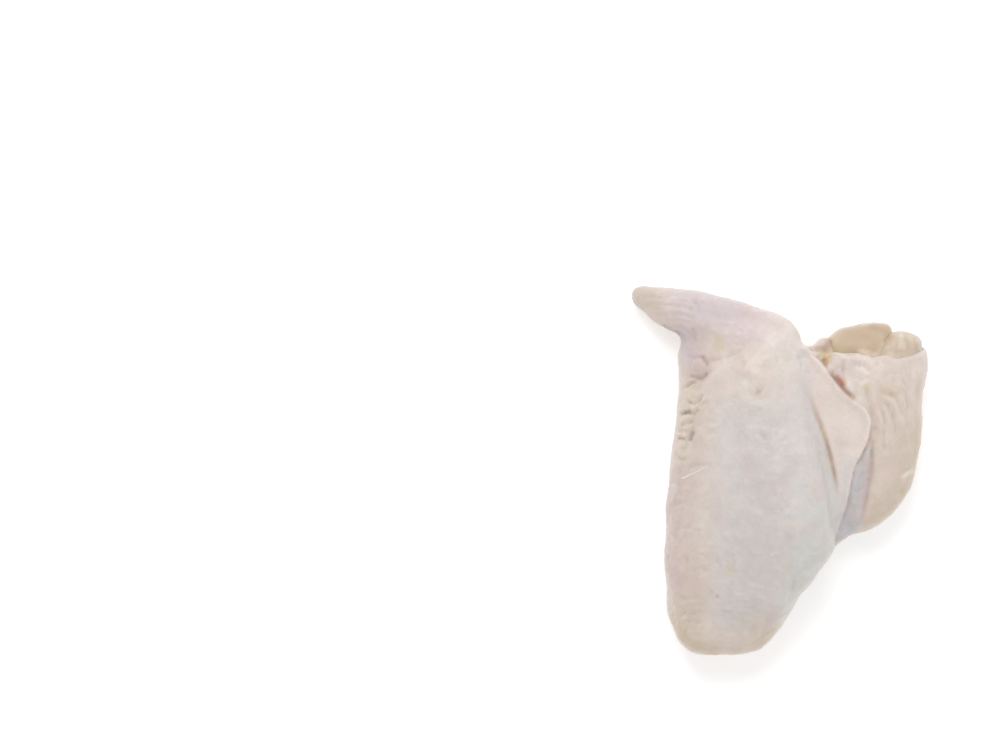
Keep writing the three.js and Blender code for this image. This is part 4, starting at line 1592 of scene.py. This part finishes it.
@dataclass
class ShoulderFat:
    """The lobe of fat on the cut's edge, whose thin margin lies over the meat."""

    node: str = "shoulder_fat"
    slot: str = "fat"
    voxel: float = 0.34
    lobe_passes: int = 5
    passes: int = 7
    lump_depths: tuple[float, float] = (0.12, 0.05)
    fill: float = 0.12
    rise: float = 0.86
    foot: float = 31.0
    margin: Route = ((24.8, 29.6), (25.6, 31.4), (27.6, 33.9), (29.0, 35.4), (30.4, 36.3))
    root: Route = ((38.7, 29.6), (39.1, 31.2), (38.9, 32.6), (38.2, 34.4), (36.6, 35.8))
    overlap: float = 0.12
    edge_rise: float = 0.4
    rim_y: float = 30.0
    rim_sink: float = 1.0
    rim_rise: float = 0.7
    rim_bend: float = 0.14
    root_sink: float = 0.5
    thickness: float = 2.2
    pleats: tuple[Fold, ...] = (
        Fold(((31.8, 36.8), (32.1, 34.4), (31.4, 31.6)), 0.9, 0.03, fade=(0.3, 0.4)),
        Fold(((34.4, 37.4), (34.1, 35.6), (34.8, 33.4), (34.4, 31.4)), 0.9, 0.045, fade=(0.3, 0.4)),
        Fold(((36.8, 36.6), (36.5, 34.8), (37.0, 33.0), (36.8, 31.4)), 0.9, 0.035, fade=(0.3, 0.4)),
    )

    def build(self, meat: BVHTree) -> bpy.types.Object:
        """Makes the fat and lays it over its node.

        Args:
            meat: The meat's surface, which the fat grows against.

        Returns:
            The finished piece.
        """
        piece = copy_of_node(self.node, "fat_surface")
        remesh(piece, self.voxel)
        surface = Surface(piece)
        surface.relax(self.lobe_passes)
        surface.points[:, 1] = self.foot + self.rise * (surface.points[:, 1] - self.foot)
        surface.write()
        add_part(piece, self.over_meat(meat, tree_of(piece), tree_of(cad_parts["wing_skin"])))
        remesh(piece, self.voxel)
        surface = Surface(piece)
        surface.relax(self.passes)
        relief = sum(pleat.relief(surface.plan) for pleat in self.pleats)
        large, small = self.lump_depths
        lumpy = large * grain(surface.points, 3, seed=41) + small * grain(surface.points, 1.4, seed=42)
        surface.push(self.fill + relief + lumpy)
        surface.relax(1)
        self.colour(surface, relief)
        surface.write()
        surface.write_tone()
        return piece

    def over_meat(self, meat: BVHTree, lobe: BVHTree, skin: BVHTree) -> bmesh.types.BMesh:
        """Lays the fat's thin margin over the meat and under the skin's edge.

        Args:
            meat: The meat's surface.
            lobe: The lobe that the margin grows from.
            skin: The model's skin, whose cut edge the margin fills.

        Returns:
            The margin as a closed body.
        """
        sides = side_by_side(self.margin, self.root, 60)

        def place(along: float, across: float) -> Point:
            """Finds the upper face's point.

            Args:
                along: How far along the margin, from 0 to 1.
                across: How far from its edge to the lobe's far side, from 0 to 1.

            Returns:
                The point in millimetres.
            """
            edge, far = sides(along)
            x, y = edge + (far - edge) * across
            over_meat = height_over(meat, x, y) - self.overlap
            over_meat += self.edge_rise * float(eased(across, 0, 0.4))
            rim = height_over(skin, x, self.rim_y) - self.rim_sink
            rim += self.rim_rise * float(eased(y, 31.2, 33))
            rim -= self.rim_bend * beyond(y, 32.4, 1.0) ** 2
            on_rim = float(eased(x, 28.5, 32.5))
            z = max(over_meat, height_over(lobe, x, y), over_meat * (1 - on_rim) + rim * on_rim)
            return x, y, z - self.root_sink * float(eased(across, 0.85, 1))

        return laid_sheet((50, 40), self.thickness, place)

    def colour(self, surface: Surface, relief: np.ndarray) -> None:
        """Paints the fat, with painted shade in its pleats, at its far edges and by the skin, and as meat at
        its margin.

        Args:
            surface: The fat.
            relief: The height that the pleats gave each vertex.
        """
        x, y, _ = surface.points.T
        surface.tone[:] = Tone.FAT.linear()
        # painted shade in the pleats, along the top and at the right edge
        surface.paint(Tone.FAT_FOLD_SHADE, 0.5 * eased(-relief, 0.004, 0.04))
        surface.paint(Tone.FAT_FOLD_SHADE, 0.35 * eased(y, 35.6, 37.2))
        surface.paint(Tone.FAT_FOLD_SHADE, 0.35 * eased(x, 35.5, 38.5))
        surface.paint(Tone.CUT_EDGE, 0.4 * bell(x, 33.2, 0.8) * eased(y, 32, 34))
        # painted shade along the fat's lower edge, by the skin
        surface.paint(Tone.DEEP_MEAT_AND_SHADE, 0.35 * bell(y, 31.8, 0.9) * eased(-x, -35, -28))
        border = beside_route(surface.plan, self.margin)[0]
        surface.paint(Tone.MEAT, 0.9 * (1 - eased(border, 0.3, 2.2)))


@dataclass(frozen=True)
class PinFeather:
    """A pale feather quill that was left on the skin."""

    route: Route = ((-25.9, -2.4), (-24.0, -1.4), (-22.0, -0.4), (-20.2, 0.7), (-18.4, 1.8))
    thick: float = 0.42
    taper: float = 0.35
    sunk: float = 0.35
    sides: int = 10
    steps: int = 22
    look_ahead: float = 0.02

    def build(self, under: BVHTree) -> bpy.types.Object:
        """Lays the quill along the skin.

        Args:
            under: The skin.

        Returns:
            The finished piece.
        """
        shape = bmesh.new()
        bmesh.ops.create_cone(
            shape, cap_ends=True, segments=self.sides,
            radius1=self.thick, radius2=self.taper * self.thick, depth=1,
        )
        long_edges = [e for e in shape.edges if abs(e.verts[0].co.z - e.verts[1].co.z) > 0.5]
        bmesh.ops.subdivide_edges(shape, edges=long_edges, cuts=self.steps, use_grid_fill=True)
        shares = np.array([v.co.z + 0.5 for v in shape.verts])
        line = along_route(self.route, shares)
        ahead = along_route(self.route, shares + self.look_ahead)
        behind = along_route(self.route, shares - self.look_ahead)
        for vert, (x, y), step in zip(shape.verts, line, ahead - behind):
            across = Vector((-step[1], step[0])).normalized()
            side, up = vert.co.x, vert.co.y
            ground = height_over(under, x, y) - self.sunk * self.thick
            vert.co = Vector((x + across.x * side, y + across.y * side, ground + up)) * MM
        bmesh.ops.recalc_face_normals(shape, faces=shape.faces)
        piece = new_piece("pin_feather", shape)
        surface = Surface(piece)
        surface.tone[:] = Tone.QUILL.linear()
        surface.write_tone()
        return piece


class Sketch:
    """Adds nodes to a tree and links them."""

    def __init__(self, tree: bpy.types.NodeTree) -> None:
        """Starts on a tree of nodes."""
        self.tree = tree

    def add(
        self, kind: str, inputs: dict[str | int, object] | None = None, **settings: object
    ) -> bpy.types.Node:
        """Adds a node.

        Args:
            kind: The node's type.
            inputs: Values or sockets for the node's inputs, by name or number.
            settings: The node's own properties.

        Returns:
            The node.
        """
        node = self.tree.nodes.new(kind)
        for name, value in settings.items():
            setattr(node, name, value)
        for name, value in (inputs or {}).items():
            if isinstance(value, bpy.types.NodeSocket):
                self.tree.links.new(value, node.inputs[name])
            else:
                node.inputs[name].default_value = value
        return node

    def work_out(self, operation: str, *values: object) -> bpy.types.NodeSocket:
        """Adds a Math node for an operation on values or sockets and gives its result."""
        return self.add("ShaderNodeMath", dict(enumerate(values)), operation=operation).outputs[0]

    def noise(self, scale: object, detail: float, **inputs: float) -> bpy.types.Node:
        """Adds noise on the piece's own coordinates.

        Args:
            scale: How many features there are in a metre.
            detail: How many finer layers it has.
            inputs: Values for its other inputs, by name.

        Returns:
            The node.
        """
        place = self.add("ShaderNodeTexCoord").outputs["Object"]
        return self.add("ShaderNodeTexNoise", {"Vector": place, "Scale": scale, "Detail": detail, **inputs})


class SharedEffects:
    """The node groups that more than one finish uses, each built once.

    Sizes are features in a metre, reaches are metres, and the rest are shares.
    """

    SPECK_SIZE = 1500.0
    SPECK_SHARE = 0.35
    CLOUD_SHARE = 0.65
    WARP_SIZE = 420.0
    WARP_REACH = 0.0022
    PORE_SHARE = 1.1

    def __init__(self) -> None:
        """Builds the groups."""
        self.mottle = self._mottle()
        self.crinkle = self._crinkle()

    @staticmethod
    def _group(
        name: str, inputs: dict[str, tuple[str, object]], outputs: dict[str, str]
    ) -> bpy.types.NodeTree:
        """Makes an empty group with its sockets.

        Args:
            name: The group's name.
            inputs: The kind and the value of each input, by name.
            outputs: The kind of each output, by name.

        Returns:
            The group.
        """
        tree = bpy.data.node_groups.new(name, "ShaderNodeTree")
        for label, (kind, default) in inputs.items():
            tree.interface.new_socket(label, in_out="INPUT", socket_type=kind).default_value = default
        for label, kind in outputs.items():
            tree.interface.new_socket(label, in_out="OUTPUT", socket_type=kind)
        return tree

    def _mottle(self) -> bpy.types.NodeTree:
        """Makes the group that varies a painted colour by soft spots and gives a roughness.

        Returns:
            The group.
        """
        tree = self._group(
            "soft_mottle",
            {
                "Colour": ("NodeSocketColor", (0.8, 0.7, 0.6, 1)),
                "Spots": ("NodeSocketFloat", 0.1),
                "Size": ("NodeSocketFloat", 300.0),
                "Least": ("NodeSocketFloat", 0.3),
                "Most": ("NodeSocketFloat", 0.5),
            },
            {"Colour": "NodeSocketColor", "Roughness": "NodeSocketFloat"},
        )
        sketch = Sketch(tree)
        entry = sketch.add("NodeGroupInput")
        cloud = sketch.noise(entry.outputs["Size"], 4.0, Roughness=0.62).outputs["Fac"]
        speck = sketch.noise(self.SPECK_SIZE, 2.0).outputs["Fac"]
        clouds = sketch.work_out("MULTIPLY", cloud, self.CLOUD_SHARE)
        both = sketch.work_out("MULTIPLY_ADD", speck, self.SPECK_SHARE, clouds)
        offset = sketch.work_out("SUBTRACT", both, 0.5)
        swing = sketch.work_out("MULTIPLY_ADD", offset, entry.outputs["Spots"], 1.0)
        tinted = sketch.add(
            "ShaderNodeVectorMath", {0: entry.outputs["Colour"], "Scale": swing}, operation="SCALE"
        )
        rough = sketch.add(
            "ShaderNodeMapRange",
            {"Value": cloud, 1: 0.3, 2: 0.7, 3: entry.outputs["Least"], 4: entry.outputs["Most"]},
        )
        sketch.add("NodeGroupOutput", {"Colour": tinted.outputs[0], "Roughness": rough.outputs[0]})
        return tree

    def _crinkle(self) -> bpy.types.NodeTree:
        """Makes the group that gives the height of a fine soft net of wrinkles with pores.

        Returns:
            The group.
        """
        tree = self._group(
            "fine_crinkle",
            {"Net": ("NodeSocketFloat", 900.0), "Pores": ("NodeSocketFloat", 1400.0)},
            {"Height": "NodeSocketFloat"},
        )
        sketch = Sketch(tree)
        entry = sketch.add("NodeGroupInput")
        place = sketch.add("ShaderNodeTexCoord")
        warp = sketch.noise(self.WARP_SIZE, 3.0)
        bent = sketch.add(
            "ShaderNodeVectorMath",
            {0: warp.outputs["Color"], 1: (self.WARP_REACH,) * 3, 2: place.outputs["Object"]},
            operation="MULTIPLY_ADD",
        )
        net = sketch.add(
            "ShaderNodeTexVoronoi",
            {"Vector": bent.outputs[0], "Scale": entry.outputs["Net"], "Smoothness": 0.4},
            feature="SMOOTH_F1",
        )
        domes = sketch.add(
            "ShaderNodeMapRange", {"Value": net.outputs["Distance"], 1: 0.0, 2: 0.8, 3: 1.0, 4: 0.0}
        ).outputs[0]
        pores = sketch.noise(entry.outputs["Pores"], 4.0).outputs["Fac"]
        height = sketch.work_out("MULTIPLY_ADD", pores, self.PORE_SHARE, domes)
        sketch.add("NodeGroupOutput", {"Height": height})
        return tree


@dataclass(frozen=True)
class Finish:
    """The look of one of the wing's tissues.

    Depths are in millimetres, spot_size, net and pores are features in a metre, and the rest are shares.
    """

    name: str
    spots: float
    spot_size: float
    roughness: tuple[float, float]
    flesh: float
    flesh_reach: Point
    flesh_depth: float
    wet: float
    wet_roughness: float
    net: float
    pores: float
    bump: float
    bump_depth: float

    def make(self, effects: SharedEffects) -> bpy.types.Material:
        """Builds the material.

        Args:
            effects: The shared node groups.

        Returns:
            The material.
        """
        material = bpy.data.materials.new(self.name)
        material.use_nodes = True
        sketch = Sketch(material.node_tree)
        material.node_tree.nodes.clear()
        tone = sketch.add("ShaderNodeAttribute", attribute_name="tone")
        least, most = self.roughness
        mottle = sketch.add(
            "ShaderNodeGroup",
            {
                "Colour": tone.outputs["Color"],
                "Spots": self.spots,
                "Size": self.spot_size,
                "Least": least,
                "Most": most,
            },
            node_tree=effects.mottle,
        )
        crinkle = sketch.add(
            "ShaderNodeGroup", {"Net": self.net, "Pores": self.pores}, node_tree=effects.crinkle
        )
        bump = sketch.add(
            "ShaderNodeBump",
            {"Strength": self.bump, "Distance": self.bump_depth * MM, "Height": crinkle.outputs["Height"]},
        )
        shader = sketch.add(
            "ShaderNodeBsdfPrincipled",
            {
                "Base Color": mottle.outputs["Colour"],
                "Roughness": mottle.outputs["Roughness"],
                "Normal": bump.outputs["Normal"],
                "Subsurface Weight": self.flesh,
                "Subsurface Radius": self.flesh_reach,
                "Subsurface Scale": self.flesh_depth * MM,
                "Coat Weight": self.wet,
                "Coat Roughness": self.wet_roughness,
                "IOR": 1.4,
            },
        )
        sketch.add("ShaderNodeOutputMaterial", {"Surface": shader.outputs[0]})
        return material


SKIN_FINISH = Finish(
    name="moist_skin", spots=0.25, spot_size=330.0, roughness=(0.34, 0.54),
    flesh=0.3, flesh_reach=(1.0, 0.5, 0.35), flesh_depth=1.8, wet=0.22, wet_roughness=0.26,
    net=820.0, pores=1500.0, bump=0.4, bump_depth=0.14,
)
MEAT_FINISH = Finish(
    name="wet_meat", spots=0.16, spot_size=420.0, roughness=(0.31, 0.31),
    flesh=0.45, flesh_reach=(1.0, 0.4, 0.25), flesh_depth=2.2, wet=0.35, wet_roughness=0.16,
    net=420.0, pores=900.0, bump=0.1, bump_depth=0.04,
)
FAT_FINISH = Finish(
    name="moist_fat", spots=0.2, spot_size=380.0, roughness=(0.3, 0.46),
    flesh=0.4, flesh_reach=(1.0, 0.62, 0.4), flesh_depth=2.0, wet=0.3, wet_roughness=0.2,
    net=700.0, pores=1400.0, bump=0.3, bump_depth=0.12,
)
QUILL_FINISH = Finish(
    name="dry_quill", spots=0.1, spot_size=900.0, roughness=(0.4, 0.5),
    flesh=0.2, flesh_reach=(1.0, 0.8, 0.6), flesh_depth=0.6, wet=0.1, wet_roughness=0.3,
    net=2200.0, pores=3000.0, bump=0.15, bump_depth=0.03,
)


@dataclass(frozen=True)
class Studio:
    """The pale floor, the soft lights and the camera straight above."""

    middle: tuple[float, float] = (-74.96, 25.65)
    view_width: float = 270.0
    level: float = 15.0
    lens: float = 300.0
    sensor: float = 36.0
    surround: float = 0.67
    floor_reach: float = 3.0
    floor_glow: float = 0.26

    def build(self) -> None:
        """Makes the floor, the lights and the camera."""
        self.floor()
        self.lights()
        self.camera()

    def floor(self) -> None:
        """Makes the pale floor."""
        shape = bmesh.new()
        bmesh.ops.create_grid(shape, x_segments=1, y_segments=1, size=self.floor_reach)
        floor = new_piece("floor", shape)
        material = bpy.data.materials.new("pale_floor")
        material.use_nodes = True
        shader = material.node_tree.nodes["Principled BSDF"]
        shader.inputs["Base Color"].default_value = (0.93, 0.93, 0.935, 1)
        shader.inputs["Emission Color"].default_value = (1, 1, 1, 1)
        shader.inputs["Emission Strength"].default_value = self.floor_glow
        shader.inputs["Roughness"].default_value = 0.9
        floor.data.materials.append(material)

    def lights(self) -> None:
        """Makes a large soft light from the top of the view, a weak fill, and an even surround."""
        for name, place, size, power in (
            ("key", (-0.15, 0.75, 1.25), 0.7, 8.2),
            ("fill", (0.9, -0.4, 1.1), 1.2, 2.0),
        ):
            data = bpy.data.lights.new(name, "AREA")
            data.size = size
            data.energy = power
            lamp = bpy.data.objects.new(name, data)
            lamp.location = place
            lamp.rotation_euler = (-lamp.location).to_track_quat("-Z", "Y").to_euler()
            bpy.context.scene.collection.objects.link(lamp)
        world = bpy.data.worlds.new("surround")
        world.use_nodes = True
        glow = world.node_tree.nodes["Background"].inputs
        glow["Color"].default_value = (1, 1, 1, 1)
        glow["Strength"].default_value = self.surround
        bpy.context.scene.world = world

    def camera(self) -> None:
        """Makes the camera, which looks straight down from far above."""
        data = bpy.data.cameras.new("camera")
        data.lens = self.lens
        data.sensor_width = self.sensor
        data.clip_end = 20
        camera = bpy.data.objects.new("camera", data)
        distance = self.lens * self.view_width / self.sensor
        camera.location = Vector((*self.middle, self.level + distance)) * MM
        bpy.context.scene.collection.objects.link(camera)
        bpy.context.scene.camera = camera
        bpy.context.scene.view_settings.view_transform = "Standard"


def dress(piece: bpy.types.Object, finish: Finish, effects: SharedEffects) -> None:
    """Gives a piece its material, smooth shading and body.

    Args:
        piece: The piece, which is changed.
        finish: Its look.
        effects: The shared node groups.
    """
    piece.data.materials.clear()
    piece.data.materials.append(finish.make(effects))
    piece.data.shade_smooth()
    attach(piece, BODY)
    LOG.info("%s: %d faces", piece.name, len(piece.data.polygons))


def main() -> None:
    """Builds the wing and the studio round it."""
    logging.basicConfig(level=logging.INFO, format="%(message)s")
    effects = SharedEffects()
    meat = ShoulderMeat()
    meat_piece = meat.build()
    dress(meat_piece, MEAT_FINISH, effects)
    meat_tree = tree_of(meat_piece)
    fat = ShoulderFat()
    fat_piece = fat.build(meat_tree)
    dress(fat_piece, FAT_FINISH, effects)
    skin = WingSkin()
    skin_piece = skin.build(meat_tree, (meat_tree, tree_of(fat_piece)))
    dress(skin_piece, SKIN_FINISH, effects)
    for piece, tissue in ((meat_piece, meat), (fat_piece, fat), (skin_piece, skin)):
        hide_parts(tissue.node)
    dress(PinFeather().build(tree_of(skin_piece)), QUILL_FINISH, effects)
    Studio().build()


if __name__ == "__main__":
    main()
